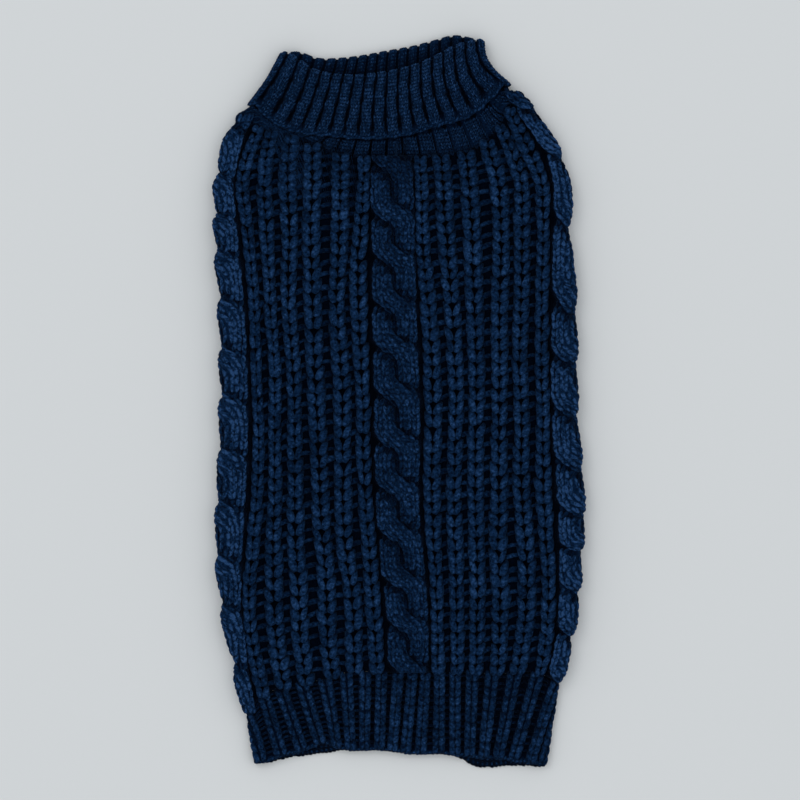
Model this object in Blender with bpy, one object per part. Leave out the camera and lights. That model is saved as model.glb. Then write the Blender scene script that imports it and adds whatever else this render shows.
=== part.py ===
"""Knitted dog coat laid flat on its belly side, neck towards +Y and back panel up.

The back panel carries twelve raised wales, a rope cable down the middle and a rope cable
round each side fold. The plain belly panel with two leg openings lies under it. A turned-down
ribbed collar closes the neck end and a ribbed hem band the tail end. Everything is in metres,
X runs across the coat and Z = 0 is the surface that it lies on.
"""

import bpy
import numpy as np

# Cloth
PANEL_WALL = 0.0026  # knitted panel, without its raised wales and cables
HEM_WALL = 0.0022
COLLAR_WALL = 0.0017
SEAM_GAP = 0.0003  # between pieces at a seam, and between layers that lie on each other
BACK_HEIGHT = 2 * PANEL_WALL + SEAM_GAP  # top of the back panel where it lies on the belly

# Raised wales, ribs and cables
WALE_HEIGHT = 0.0018
WALE_HALF_WIDTH = 0.0041
WALE_FOOT = 0.15  # height of a wale's two edges, as a share of its own
WALES_SPAN = 0.0690  # usual width of the six wales beside the middle cable
WALES_LEFT = (0.065, 0.215, 0.375, 0.565, 0.755, 0.925)  # shares of the way from side cable
WALES_RIGHT = (0.075, 0.240, 0.400, 0.585, 0.765, 0.930)  # and from the middle cable
CABLE_HEIGHT = 0.0034
CABLE_CROSSING_LIFT = 0.0009  # a strand's rise where it passes in front
CABLE_CROSSING_SHARE = 0.62  # of each turn, the part in which the strands change sides
STRAND_PLACE = 0.44  # strand middle from the cable's middle, as a share of its half width
STRAND_HALF_WIDTH = 0.54
STRAND_EASE = 0.12  # softens the start and end of a strand's change of side
STRAND_SLANT = 0.35  # widens a strand where it runs slanting
CABLE_EDGE_FADE = 0.18
SIDE_CABLE_UNDER = 0.0045  # how far a side cable's outer edge runs under the coat
SIDE_CABLE_HEIGHT = 0.0034
RIB_HEIGHT = 0.0010
HEM_RIBS = 18
COLLAR_RIBS = 17

# Side folds
FLANGE = 0.0120  # how far the back panel runs flat under the coat, from the end of its fold
FLANGE_SHARES = (0.68, 1.0)
FOLD_SPREAD = 0.0140  # how far in from the fold the cloth takes to settle on the belly
LENS = 0.0117  # how far the belly side of the neck stands past the back side

# Sections of the back panel, from hem to neck: fold lines and edges of the three cables
SECTION_COLUMNS = (
    "y", "left", "cable_left", "middle_left", "middle_right", "cable_right", "right", "fold_height",
)
SECTIONS = (
    (-0.1750, -0.0825, -0.0780, -0.0055, 0.0150, 0.0760, 0.0840, 0.0056),
    (-0.1530, -0.0875, -0.0820, -0.0065, 0.0155, 0.0805, 0.0875, 0.0066),
    (-0.1310, -0.0925, -0.0845, -0.0070, 0.0165, 0.0855, 0.0930, 0.0078),
    (-0.1090, -0.0965, -0.0865, -0.0085, 0.0160, 0.0870, 0.0965, 0.0084),
    (-0.0870, -0.0985, -0.0860, -0.0110, 0.0140, 0.0870, 0.0980, 0.0085),
    (-0.0650, -0.0985, -0.0845, -0.0130, 0.0120, 0.0865, 0.0995, 0.0085),
    (-0.0070, -0.0965, -0.0825, -0.0145, 0.0120, 0.0830, 0.0960, 0.0085),
    (0.0505, -0.0970, -0.0845, -0.0155, 0.0100, 0.0830, 0.0950, 0.0085),
    (0.1000, -0.0995, -0.0890, -0.0160, 0.0090, 0.0840, 0.0920, 0.0085),
    (0.1205, -0.0990, -0.0905, -0.0165, 0.0080, 0.0840, 0.0915, 0.0080),
    (0.1345, -0.0970, -0.0880, -0.0165, 0.0075, 0.0805, 0.0880, 0.0073),
    (0.1470, -0.0925, -0.0845, -0.0165, 0.0070, 0.0735, 0.0810, 0.0064),
    (0.1595, -0.0865, -0.0790, -0.0170, 0.0065, 0.0645, 0.0735, 0.0058),
    (0.1730, -0.0780, -0.0725, -0.0175, 0.0060, 0.0555, 0.0615, 0.0056),
)

# Notches between the strands of each cable, from hem to neck, and how many turns past the middle
# of a crossing each of them lies. On the side cables the notches show at the fold.
LEFT_LEAD = 0.22
MIDDLE_LEAD = 0.0
RIGHT_LEAD = -0.14
LEFT_NOTCHES = (
    -0.2050, -0.1745, -0.1430, -0.1100, -0.0840, -0.0545, -0.0255,
    0.0040, 0.0300, 0.0575, 0.0840, 0.1035, 0.1260, 0.1525, 0.1780,
)
MIDDLE_NOTCHES = (
    -0.1705, -0.1460, -0.1220, -0.0985, -0.0725, -0.0465, -0.0215,
    0.0050, 0.0305, 0.0540, 0.0800, 0.1030, 0.1315, 0.1560,
)
RIGHT_NOTCHES = (
    -0.1790, -0.1545, -0.1290, -0.1040, -0.0815, -0.0615, -0.0360,
    -0.0070, 0.0220, 0.0500, 0.0960, 0.1340, 0.1605, 0.1800,
)

# Seams and edges of the top layer, from the left fold to the right: columns x, y
NECK_SEAM = (
    (-0.0890, 0.1600), (-0.0870, 0.1580), (-0.0820, 0.1535), (-0.0760, 0.1515),
    (-0.0675, 0.1485), (-0.0525, 0.1445), (-0.0425, 0.1390), (-0.0320, 0.1365),
    (-0.0015, 0.1355), (0.0290, 0.1368), (0.0390, 0.1390), (0.0495, 0.1455),
    (0.0565, 0.1550), (0.0610, 0.1645), (0.0640, 0.1710),
)
HEM_SEAM = (
    (-0.0855, -0.1765), (-0.0835, -0.1730), (-0.0800, -0.1675), (-0.0765, -0.1625),
    (-0.0645, -0.1575), (-0.0435, -0.1530), (-0.0325, -0.1495), (0.0020, -0.1490),
    (0.0390, -0.1490), (0.0590, -0.1493), (0.0735, -0.1490), (0.0800, -0.1505),
    (0.0865, -0.1550), (0.0895, -0.1570),
)
HEM_EDGE = (
    (-0.0810, -0.1985), (-0.0755, -0.1985), (-0.0655, -0.1950), (-0.0520, -0.1915),
    (-0.0405, -0.1878), (-0.0350, -0.1900), (-0.0095, -0.1915), (0.0065, -0.1935),
    (0.0230, -0.1935), (0.0415, -0.1955), (0.0590, -0.1970), (0.0800, -0.2000),
)
HEM_EDGE_UNDER = (
    (-0.0810, -0.1985), (-0.0755, -0.1985), (-0.0615, -0.1955), (-0.0385, -0.1925),
    (-0.0300, -0.1910), (-0.0095, -0.1915), (0.0065, -0.1935), (0.0230, -0.1935),
    (0.0330, -0.1955), (0.0405, -0.1995), (0.0640, -0.1998), (0.0800, -0.2005),
)
COLLAR_FOLD = (
    (-0.0655, 0.1920), (-0.0595, 0.1890), (-0.0525, 0.1840), (-0.0370, 0.1800),
    (-0.0270, 0.1795), (-0.0070, 0.1815), (0.0135, 0.1865), (0.0240, 0.1910),
    (0.0340, 0.1960), (0.0465, 0.1990),
)
COLLAR_EDGE = (
    (-0.0835, 0.1635), (-0.0780, 0.1575), (-0.0680, 0.1510), (-0.0575, 0.1480),
    (-0.0370, 0.1460), (-0.0270, 0.1450), (0.0035, 0.1465), (0.0240, 0.1520),
    (0.0440, 0.1585), (0.0540, 0.1665), (0.0615, 0.1745),
)

# Half thickness of the flattened bands
HEM_HALF = HEM_WALL + SEAM_GAP / 2
STAND_INNER = SEAM_GAP
STAND_OUTER = STAND_INNER + COLLAR_WALL
TURN_INNER = STAND_OUTER + SEAM_GAP
TURN_OUTER = TURN_INNER + COLLAR_WALL
COLLAR_LENS_POWER = 0.7
COLLAR_EDGE_LENS = 1.3  # the same for the collar's cast-off edge below, as a share of LENS
COLLAR_BOW = (0.0015, 0.0048)  # how far the collar's left and right folds curve inwards
COLLAR_SEAM_OUTER = 0.0025
COLLAR_SEAM_INNER = COLLAR_SEAM_OUTER - COLLAR_WALL
HEM_FOLDS_TOP = (-0.0832, 0.0870)  # hem band's side folds at its seam
HEM_FOLDS_EDGE = (-0.0802, 0.0803)  # and at its lower edge

# Leg openings in the belly panel
LEG_PLACE = (0.0430, 0.0880)
LEG_HALF_SIZE = (0.0170, 0.0260)
LEG_SIDES = 28

# Stretches of Y in which the panels' lines meet the seams
HEM_REACH = (-0.1900, -0.1200)
NECK_REACH = (0.1100, 0.1850)

# Fineness
CABLE_ROWS = 76
CABLE_LINES = 10
WALE_ROWS = 20
INNER_ROWS = 10
BELLY_END_STEPS = 60
END_STEPS = 4

NAVY = (0.0055, 0.0185, 0.0560, 1.0)
DARK_NAVY = (0.0040, 0.0140, 0.0440, 1.0)


def smooth_line(places, values, at):
    """Values on a smooth curve through a table's rows."""
    places = np.asarray(places)
    values = np.asarray(values)
    slopes = np.gradient(values, places)
    first = np.clip(np.searchsorted(places, at) - 1, 0, len(places) - 2)
    span = places[first + 1] - places[first]
    t = np.clip((at - places[first]) / span, 0.0, 1.0)
    start, end = values[first], values[first + 1]
    rise, fall = slopes[first] * span, slopes[first + 1] * span
    bend = (2 * t**3 - 3 * t**2 + 1) * start + (3 * t**2 - 2 * t**3) * end
    return bend + (t**3 - 2 * t**2 + t) * rise + (t**3 - t**2) * fall


def section(name, y):
    """One column of the section table at y."""
    index = SECTION_COLUMNS.index(name)
    return smooth_line([row[0] for row in SECTIONS], [row[index] for row in SECTIONS], y)


def height_at(line, x):
    """The y of a seam or edge line at x."""
    return smooth_line([point[0] for point in line], [point[1] for point in line], x)


def share_across(line, x):
    """How far x lies along a line, from 0 at its left end to 1 at its right."""
    return np.clip((x - line[0][0]) / (line[-1][0] - line[0][0]), 0.0, 1.0)


def neck_y(x, facing_up):
    """The neck seam, which stands higher on the belly side. facing_up is the surface normal's z."""
    below = (1 - facing_up) / 2
    return height_at(NECK_SEAM, x) + below * LENS * np.sin(np.pi * share_across(NECK_SEAM, x))


def hem_y(x):
    """The seam of the hem band, the same on both layers."""
    return height_at(HEM_SEAM, x)


def half_gap(line, x):
    """Half a seam's gap, measured along Y, so that it stays even where the seam is steep."""
    step = 0.0005
    slope = (height_at(line, x + step) - height_at(line, x - step)) / (2 * step)
    return SEAM_GAP / 2 * np.sqrt(1 + slope**2) + 0.00005


def strand_place(turn):
    """A strand's place across the cable, its lift and its slant, at a number of turns along it."""
    turn = turn % 2
    front = turn < 1
    part = np.where(front, turn, turn - 1)
    swing = np.clip(part / CABLE_CROSSING_SHARE, 0, 1)
    across = np.cos(np.pi * swing - STRAND_EASE * np.sin(2 * np.pi * swing))
    lift = np.sin(np.pi * swing)
    place = np.where(front, across, -across) * STRAND_PLACE
    slope = np.pi * STRAND_PLACE * np.sin(np.pi * swing) / CABLE_CROSSING_SHARE
    return place, np.where(front, lift, -lift), slope


def cable_relief(across, y, notches, lead, height):
    """Height of a rope cable over the panel, at a share across its half width."""
    turns = np.interp(y, notches, range(len(notches))) + CABLE_CROSSING_SHARE / 2 + lead
    relief = 0.0
    for strand in (0, 1):
        place, lift, slope = strand_place(turns + strand)
        width = STRAND_HALF_WIDTH * np.sqrt(1 + STRAND_SLANT * slope**2)
        dome = np.sqrt(np.clip(1 - ((across - place) / width) ** 2, 0, 1))
        relief = np.maximum(relief, dome * (height + CABLE_CROSSING_LIFT * lift))
    return relief * np.clip((1 - np.abs(across)) / CABLE_EDGE_FADE + 0.44, 0, 1)


def fold_point(side, along, y):
    """A point on the base of the panel round a side fold, and its normal's x and z.

    side is -1 at the left and 1 at the right. along is measured over the cloth, from the top
    of the fold outwards, and is negative on top of the coat."""
    radius = section("fold_height", y) / 2
    edge = section("left" if side < 0 else "right", y)
    middle = edge - side * radius
    if along < 0:
        settle = np.exp(-((along / FOLD_SPREAD) ** 2))
        top = BACK_HEIGHT + (2 * radius - BACK_HEIGHT) * settle
        return middle + side * along, top, 0.0, 1.0
    angle = along / radius
    if angle < np.pi:
        nx, nz = side * np.sin(angle), np.cos(angle)
        return middle + nx * radius, radius + nz * radius, nx, nz
    return middle - side * (along - np.pi * radius), 0.0, 0.0, -1.0


def top_point(x, y):
    """A point on the base of the panel between the folds."""
    for side, name in ((-1, "left"), (1, "right")):
        inside = side * (x - section(name, y)) + section("fold_height", y) / 2
        if inside > -3 * FOLD_SPREAD:
            return fold_point(side, inside, y)
    return x, BACK_HEIGHT, 0.0, 1.0


class PanelLine:
    """One line of points along the back panel, from hem to neck."""

    def __init__(self, place, relief, rows, inner_rows):
        self.place = place
        self.relief = relief
        self.rows = rows
        self.inner_rows = inner_rows

    def at(self, y, inside):
        """The line's point at y and its normal's z, on the raised outer side or the plain inside."""
        x, z, nx, nz = self.place(y)
        rise = -PANEL_WALL if inside else self.relief(y) * np.clip(0.5 + 0.9 * nz, 0, 1)
        return x + nx * rise, max(z + nz * rise, 0.0), nz

    def end(self, low, high, inside, seam):
        """The y at which the line meets a seam, by halving."""
        for _ in range(30):
            y = (low + high) / 2
            x, _, nz = self.at(y, inside)
            if y < seam(x, nz):
                low = y
            else:
                high = y
        return (low + high) / 2

    def points(self, inside=False):
        bottom = self.end(*HEM_REACH, inside, lambda x, nz: hem_y(x) + half_gap(HEM_SEAM, x))
        top = self.end(*NECK_REACH, inside, lambda x, nz: neck_y(x, nz) - half_gap(NECK_SEAM, x))
        found = []
        for y in np.linspace(bottom, top, self.inner_rows if inside else self.rows):
            x, z, _ = self.at(y, inside)
            found.append((x, y, z))
        return found


def side_line(side, share):
    """A line in a side cable: share is -1 at its inner edge on top and 1 at its outer edge below."""
    inner = "cable_left" if side < 0 else "cable_right"
    notches, lead = (LEFT_NOTCHES, LEFT_LEAD) if side < 0 else (RIGHT_NOTCHES, RIGHT_LEAD)

    def place(y):
        edge = section("left" if side < 0 else "right", y)
        radius = section("fold_height", y) / 2
        start = side * (section(inner, y) - edge) + radius
        width = np.pi * radius + SIDE_CABLE_UNDER - start
        return fold_point(side, start + (1 + share) / 2 * width, y)

    def relief(y):
        return cable_relief(side * share, y, notches, lead, SIDE_CABLE_HEIGHT)

    return PanelLine(place, relief, CABLE_ROWS, INNER_ROWS)


def flange_line(side, share=1.0):
    """The panel under the coat, at a share of the way to its edge, where the belly is sewn on."""

    def place(y):
        radius = section("fold_height", y) / 2
        return fold_point(side, np.pi * radius + share * FLANGE, y)

    return PanelLine(place, lambda y: 0.0, WALE_ROWS, WALE_ROWS)


def wale_line(inner, outer, share, offset):
    """A line at a share of the way between two section columns, and an offset in metres from it."""

    def place(y):
        start, end = section(inner, y), section(outer, y)
        squeeze = abs(end - start) / WALES_SPAN
        return top_point(start + share * (end - start) + offset * squeeze, y)

    relief = WALE_HEIGHT if abs(offset) < WALE_HALF_WIDTH else WALE_FOOT * WALE_HEIGHT
    return PanelLine(place, lambda y: relief, WALE_ROWS, INNER_ROWS)


def middle_line(share):
    """A line in the cable down the middle: share is -1 at its left edge and 1 at its right."""

    def place(y):
        start, end = section("middle_left", y), section("middle_right", y)
        return top_point(start + (share + 1) / 2 * (end - start), y)

    def relief(y):
        return cable_relief(share, y, MIDDLE_NOTCHES, MIDDLE_LEAD, CABLE_HEIGHT)

    return PanelLine(place, relief, CABLE_ROWS, INNER_ROWS)


def merge_strip(first, second, first_places, second_places, turn=False):
    """Triangles between two rows of point numbers, which may differ in count."""
    faces = []
    i = j = 0
    while i < len(first) - 1 or j < len(second) - 1:
        step_first = j == len(second) - 1 or (
            i < len(first) - 1 and first_places[i + 1] <= second_places[j + 1]
        )
        if step_first:
            faces.append((first[i], second[j], first[i + 1]))
            i += 1
        else:
            faces.append((first[i], second[j], second[j + 1]))
            j += 1
    return [face[::-1] for face in faces] if turn else faces


def even(count):
    return np.linspace(0.0, 1.0, count)


class Shell:
    """Points and faces of one closed piece, gathered line by line."""

    def __init__(self):
        self.points = []
        self.faces = []

    def add(self, points):
        start = len(self.points)
        self.points.extend(points)
        return list(range(start, len(self.points)))

    def join(self, first, second, first_places, second_places, turn=False):
        self.faces.extend(merge_strip(first, second, first_places, second_places, turn))

    def join_even(self, first, second, turn=False):
        self.join(first, second, even(len(first)), even(len(second)), turn)


def material(name, colour):
    made = bpy.data.materials.new(name)
    made.use_nodes = True
    shader = made.node_tree.nodes["Principled BSDF"]
    shader.inputs["Base Color"].default_value = colour
    shader.inputs["Roughness"].default_value = 0.95
    shader.inputs["Metallic"].default_value = 0.0
    made.diffuse_color = colour
    return made


def make_object(name, points, faces, cloth, sharp_degrees=50):
    mesh = bpy.data.meshes.new(name)
    mesh.from_pydata([tuple(float(value) for value in point) for point in points], [], faces)
    mesh.update()
    mesh.shade_smooth()
    mesh.set_sharp_from_angle(angle=np.radians(sharp_degrees))
    mesh.materials.append(cloth)
    made = bpy.data.objects.new(name, mesh)
    bpy.context.scene.collection.objects.link(made)
    return made


def back_panel(cloth):
    """The back, from its edge under the left side, over the top, to its edge under the right."""
    cable_shares = np.linspace(-1, 1, CABLE_LINES)
    wale_offsets = [share * WALE_HALF_WIDTH for share in (-1.0, -0.5, 0.5, 1.0)]
    lines = [flange_line(-1, share) for share in FLANGE_SHARES[::-1]]
    lines += [side_line(-1, share) for share in cable_shares[::-1]]
    lines += [
        wale_line("cable_left", "middle_left", share, offset)
        for share in WALES_LEFT
        for offset in wale_offsets
    ]
    lines += [middle_line(share) for share in cable_shares]
    lines += [
        wale_line("middle_right", "cable_right", share, offset)
        for share in WALES_RIGHT
        for offset in wale_offsets
    ]
    lines += [side_line(1, share) for share in cable_shares]
    lines += [flange_line(1, share) for share in FLANGE_SHARES]

    shell = Shell()
    outer_lines = [shell.add(line.points()) for line in lines]
    inner_lines = [shell.add(line.points(inside=True)) for line in lines]
    for first, second in zip(outer_lines, outer_lines[1:]):
        shell.join_even(first, second)
    for first, second in zip(inner_lines, inner_lines[1:]):
        shell.join_even(first, second, turn=True)
    shell.join_even(outer_lines[0], inner_lines[0], turn=True)
    shell.join_even(outer_lines[-1], inner_lines[-1])
    for end, turn in ((0, False), (-1, True)):
        shell.join_even([line[end] for line in outer_lines], [line[end] for line in inner_lines], turn)
    return make_object("back_panel", shell.points, shell.faces, cloth)


def belly_panel(cloth):
    """The plain panel under the coat, between the edges of the back panel, with its leg openings."""
    left = [(x + SEAM_GAP, y) for x, y, _ in flange_line(-1).points()]
    right = [(x - SEAM_GAP, y) for x, y, _ in flange_line(1).points()]
    across = np.linspace(0.0, 1.0, BELLY_END_STEPS)[1:-1]
    neck_x = left[-1][0] + (right[-1][0] - left[-1][0]) * across
    hem_x = right[0][0] + (left[0][0] - right[0][0]) * across
    neck_end = [(x, neck_y(x, -1.0) - half_gap(NECK_SEAM, x)) for x in neck_x]
    hem_end = [(x, hem_y(x) + half_gap(HEM_SEAM, x)) for x in hem_x]
    outline = left + neck_end + right[::-1] + hem_end
    count = len(outline)
    points = [(x, y, 0.0) for x, y in outline] + [(x, y, PANEL_WALL) for x, y in outline]
    faces = [tuple(range(count)), tuple(range(2 * count - 1, count - 1, -1))]
    for index in range(count):
        following = (index + 1) % count
        faces.append((index, index + count, following + count, following))
    panel = make_object("belly_panel", points, faces, cloth)
    for side in (-1, 1):
        angles = [2 * np.pi * step / LEG_SIDES for step in range(LEG_SIDES)]
        middle_x, middle_y = side * LEG_PLACE[0], LEG_PLACE[1]
        ring = [
            (middle_x + LEG_HALF_SIZE[0] * np.cos(a), middle_y + LEG_HALF_SIZE[1] * np.sin(a))
            for a in angles
        ]
        low = [(x, y, -PANEL_WALL) for x, y in ring]
        high = [(x, y, 2 * PANEL_WALL) for x, y in ring]
        walls = [
            (index, (index + 1) % LEG_SIDES, (index + 1) % LEG_SIDES + LEG_SIDES, index + LEG_SIDES)
            for index in range(LEG_SIDES)
        ]
        caps = [tuple(range(LEG_SIDES))[::-1], tuple(range(LEG_SIDES, 2 * LEG_SIDES))]
        name = "leg_cutter_left" if side < 0 else "leg_cutter_right"
        cutter = make_object(name, low + high, walls + caps, cloth)
        cutter.hide_render = True
        cutter.display_type = "WIRE"
        opening = panel.modifiers.new(cutter.name, "BOOLEAN")
        opening.operation = "DIFFERENCE"
        opening.object = cutter
    return panel


def ring_places(ribs_top, ribs_under):
    """Places round a flattened band, as share across, normal x and z, and rib height.

    They run over the top from left to right, round the right fold, back below and round the
    left fold. A half with no ribs has one place for each rib's width."""
    profile = ((0.08, 0.0), (0.27, 1.0), (0.73, 1.0), (0.92, 0.0))

    def run(count, ribbed):
        parts = profile if ribbed else ((0.5, 0.0),)
        return [((k + part) / count, height) for k in range(count) for part, height in parts]

    count, ribbed_top = ribs_top
    places = [(share, 0.0, 1.0, height) for share, height in run(count, ribbed_top)]
    turns = np.linspace(0.0, np.pi, END_STEPS + 1)
    places += [(1.0, np.sin(a), np.cos(a), 0.6) for a in turns]
    count, ribbed_under = ribs_under
    places += [(1 - share, 0.0, -1.0, height) for share, height in run(count, ribbed_under)]
    places += [(0.0, -np.sin(a), -np.cos(a), 0.6) for a in turns]
    return places


def ring_order(places):
    """Each place's share of the way round, from 0 to 2, for joining rings that differ."""
    order = []
    for share, _, nz, _ in places:
        turn = np.arccos(np.clip(nz, -1, 1)) / np.pi
        if nz == 1.0 and share > 0.0:
            order.append(0.9 * share)
        elif nz == -1.0 and share > 0.0:
            order.append(1.0 + 0.9 * (1 - share))
        else:
            order.append(0.9 + 0.1 * turn if share > 0.5 else 1.9 + 0.1 * (1 - turn))
    return order


def join_rings(shell, rings, turn):
    """Closes the strips between neighbouring rings of points, and from the last to the first."""
    for (first, first_order), (second, second_order) in zip(rings, rings[1:] + rings[:1]):
        first_places = list(first_order) + [first_order[0] + 2.0]
        second_places = list(second_order) + [second_order[0] + 2.0]
        shell.join(first + first[:1], second + second[:1], first_places, second_places, turn)


def hem_band(cloth):
    """The ribbed band at the tail end: its under layer shows past the top one at the right."""
    places = ring_places((HEM_RIBS, True), (HEM_RIBS, False))
    plain = ring_places((HEM_RIBS, False), (HEM_RIBS, False))
    seam = ring_places((HEM_RIBS, True), (HEM_RIBS, True))
    profile = (  # down from the seam, half thickness, rib height, places
        (0.00, HEM_HALF - 0.0002, 0.8, seam),
        (0.15, HEM_HALF, 1.0, places),
        (0.60, HEM_HALF, 1.0, places),
        (0.96, HEM_HALF, 0.9, places),
        (1.00, HEM_HALF - 0.0007, 0.5, places),
        (0.985, SEAM_GAP / 2, 0.0, plain),
        (0.50, SEAM_GAP / 2, 0.0, plain),
        (0.00, SEAM_GAP / 2, 0.0, seam),
    )
    shell = Shell()
    rings = []
    for down, half, rib, around in profile:
        left, right = (a + (b - a) * down for a, b in zip(HEM_FOLDS_TOP, HEM_FOLDS_EDGE))
        points = []
        for share, nx, nz, height in around:
            rise = half + rib * height * RIB_HEIGHT * np.clip(0.5 + nz, 0, 1)
            x = left + HEM_HALF + share * (right - left - 2 * HEM_HALF) + nx * rise
            below = (1 - nz) / 2
            seam_y = hem_y(x) - half_gap(HEM_SEAM, x)
            edge_y = (1 - below) * height_at(HEM_EDGE, x) + below * height_at(HEM_EDGE_UNDER, x)
            points.append((x, seam_y + down * (edge_y - seam_y), max(HEM_HALF + nz * rise, 0.0)))
        rings.append((shell.add(points), ring_order(around)))
    join_rings(shell, rings, turn=False)
    return make_object("hem_band", shell.points, shell.faces, cloth)


def collar(cloth):
    """The ribbed collar: a stand sewn to the panels, folded at the top and turned down outside."""
    ribbed = ring_places((COLLAR_RIBS, True), (COLLAR_RIBS, True))
    plain = ring_places((COLLAR_RIBS, False), (COLLAR_RIBS, False))
    bend = (TURN_OUTER - STAND_INNER) / 2
    bend_middle = (TURN_OUTER + STAND_INNER) / 2

    def spine(line, share, inset):
        """A point on a line squeezed by an inset at both ends, which leaves room for the folds."""
        left, right = line[0][0], line[-1][0]
        x = left + inset + share * (right - left - 2 * inset)
        return x, height_at(line, left + share * (right - left))

    def lens(share, nz):
        """How far the far layer stands up past the near one, between the two folds."""
        return (1 - nz) / 2 * LENS * np.sin(np.pi * np.clip(share, 0, 1)) ** COLLAR_LENS_POWER

    def ring(kind, part, half, rib, around):
        """Points of one ring: kind is where part runs, between seam, edge and fold lines."""
        points = []
        for share, nx, nz, height in around:
            fold_x, fold_y = spine(COLLAR_FOLD, share, TURN_OUTER)
            edge_x, edge_y = spine(COLLAR_EDGE, share, TURN_OUTER)
            slant = (fold_x - edge_x) / (fold_y - edge_y)
            fold_x += slant * lens(share, nz)
            fold_y += lens(share, nz)
            edge_x += slant * COLLAR_EDGE_LENS * lens(share, nz)
            edge_y += COLLAR_EDGE_LENS * lens(share, nz)
            length = np.hypot(fold_x - edge_x, fold_y - edge_y)
            reach = 1 - bend / length
            upright = np.clip(nz if kind != "bend" else 1.0, 0, 1)
            shown = np.clip(0.5 + nz, 0, 1) if kind != "bend" else 1.0
            rise = half + rib * height * RIB_HEIGHT * shown
            if kind == "seam":
                seam_x, _ = spine(NECK_SEAM, share, COLLAR_SEAM_OUTER + 0.0012)
                middle = COLLAR_SEAM_OUTER
                x = seam_x + nx * rise
                y = neck_y(x, nz) + half_gap(NECK_SEAM, x)
                if part:
                    x = x + part * (edge_x + nx * rise - x)
                    y = y + part * (edge_y - y)
                    middle = middle + min(part / 0.8, 1) * (TURN_OUTER - middle)
                points.append((x, y, max(middle + nz * rise, 0.0)))
                continue
            along = part * reach
            if kind == "bend":
                along = reach + np.sin(part) * bend / length
                outward = bend_middle + np.cos(part) * bend + rib * height * RIB_HEIGHT * np.cos(part) ** 2
                along += rib * height * RIB_HEIGHT * np.sin(part) / length
                rise = outward
            bow = np.sin(np.pi * np.clip(along, 0, 1))
            x = edge_x + (fold_x - edge_x) * along + nx * rise
            x += bow * (COLLAR_BOW[0] * (1 - share) ** 2 - COLLAR_BOW[1] * share**2)
            y = edge_y + (fold_y - edge_y) * along
            points.append((x, y, max(TURN_OUTER + nz * rise, 0.0)))
        return points

    profile = (  # line, part of the way, half thickness, rib height, places
        ("seam", 0.00, COLLAR_SEAM_OUTER, 0.8, ribbed),
        ("seam", 0.45, STAND_OUTER + 0.0002, 0.6, ribbed),
        ("seam", 0.96, STAND_OUTER - 0.0004, 0.0, ribbed),
        ("turn", 0.12, STAND_OUTER, 0.0, plain),
        ("turn", 0.35, STAND_OUTER, 0.0, plain),
        ("turn", 0.65, STAND_OUTER, 0.0, plain),
        ("turn", 1.00, STAND_OUTER, 0.0, plain),
        ("turn", 1.00, TURN_INNER, 0.0, plain),
        ("turn", 0.65, TURN_INNER, 0.0, plain),
        ("turn", 0.35, TURN_INNER, 0.0, plain),
        ("turn", 0.00, TURN_INNER + 0.0002, 0.0, ribbed),
        ("turn", 0.00, TURN_OUTER - 0.0004, 0.6, ribbed),
        ("turn", 0.05, TURN_OUTER, 1.0, ribbed),
        ("turn", 0.35, TURN_OUTER, 1.0, ribbed),
        ("turn", 0.65, TURN_OUTER, 1.0, ribbed),
        ("bend", 0.10, TURN_OUTER, 1.0, ribbed),
        ("bend", 0.80, TURN_OUTER, 0.8, ribbed),
        ("bend", 1.60, TURN_OUTER, 0.6, ribbed),
        ("bend", 2.40, STAND_INNER, 0.3, ribbed),
        ("bend", 3.10, STAND_INNER, 0.0, plain),
        ("turn", 0.65, STAND_INNER, 0.0, plain),
        ("turn", 0.35, STAND_INNER, 0.0, plain),
        ("turn", 0.00, STAND_INNER, 0.0, plain),
        ("seam", 0.00, COLLAR_SEAM_INNER, 0.0, ribbed),
    )
    shell = Shell()
    rings = [(shell.add(ring(*row)), ring_order(row[-1])) for row in profile]
    join_rings(shell, rings, turn=True)
    return make_object("collar", shell.points, shell.faces, cloth)


for old in list(bpy.data.objects):
    bpy.data.objects.remove(old, do_unlink=True)

body_knit = material("body_knit", NAVY)
rib_knit = material("rib_knit", DARK_NAVY)
back_panel(body_knit)
belly_panel(body_knit)
collar(rib_knit)
hem_band(rib_knit)
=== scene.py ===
"""Knitted dog coat laid flat, back up: four knitted pieces, each a thin shell with its yarn laid on it.

Metres, +X across the coat, +Y towards the neck, +Z up out of the surface that it lies on."""

import bpy
import numpy as np
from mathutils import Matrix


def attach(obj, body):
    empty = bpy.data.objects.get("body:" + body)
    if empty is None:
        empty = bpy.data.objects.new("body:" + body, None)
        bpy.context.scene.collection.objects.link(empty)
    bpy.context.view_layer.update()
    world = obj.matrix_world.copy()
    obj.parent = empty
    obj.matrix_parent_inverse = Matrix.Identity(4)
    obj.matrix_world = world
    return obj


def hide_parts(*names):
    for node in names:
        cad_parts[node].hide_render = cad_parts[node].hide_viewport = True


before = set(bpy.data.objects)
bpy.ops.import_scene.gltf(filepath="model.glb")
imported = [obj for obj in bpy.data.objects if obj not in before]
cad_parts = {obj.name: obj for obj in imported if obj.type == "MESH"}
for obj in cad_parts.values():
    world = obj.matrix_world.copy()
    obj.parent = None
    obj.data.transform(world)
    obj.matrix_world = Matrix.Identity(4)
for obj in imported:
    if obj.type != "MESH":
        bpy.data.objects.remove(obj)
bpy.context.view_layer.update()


# ---------------------------------------------------------------- where it is photographed
# A pale grey matte surface, lit softly from all round with one larger, slightly stronger light
# from the upper left. The camera looks straight down from far away, so nothing converges.
FLOOR_SIZE = 7.0
FLOOR_GREY = (0.708, 0.713, 0.713, 1.0)
ROOM_GREY = (0.93, 0.97, 1.0, 1.0)
ROOM_STRENGTH = 0.88
PIXEL = 0.00055  # metres of the coat per pixel of the photograph
FRAME_PIXELS = 800
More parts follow.
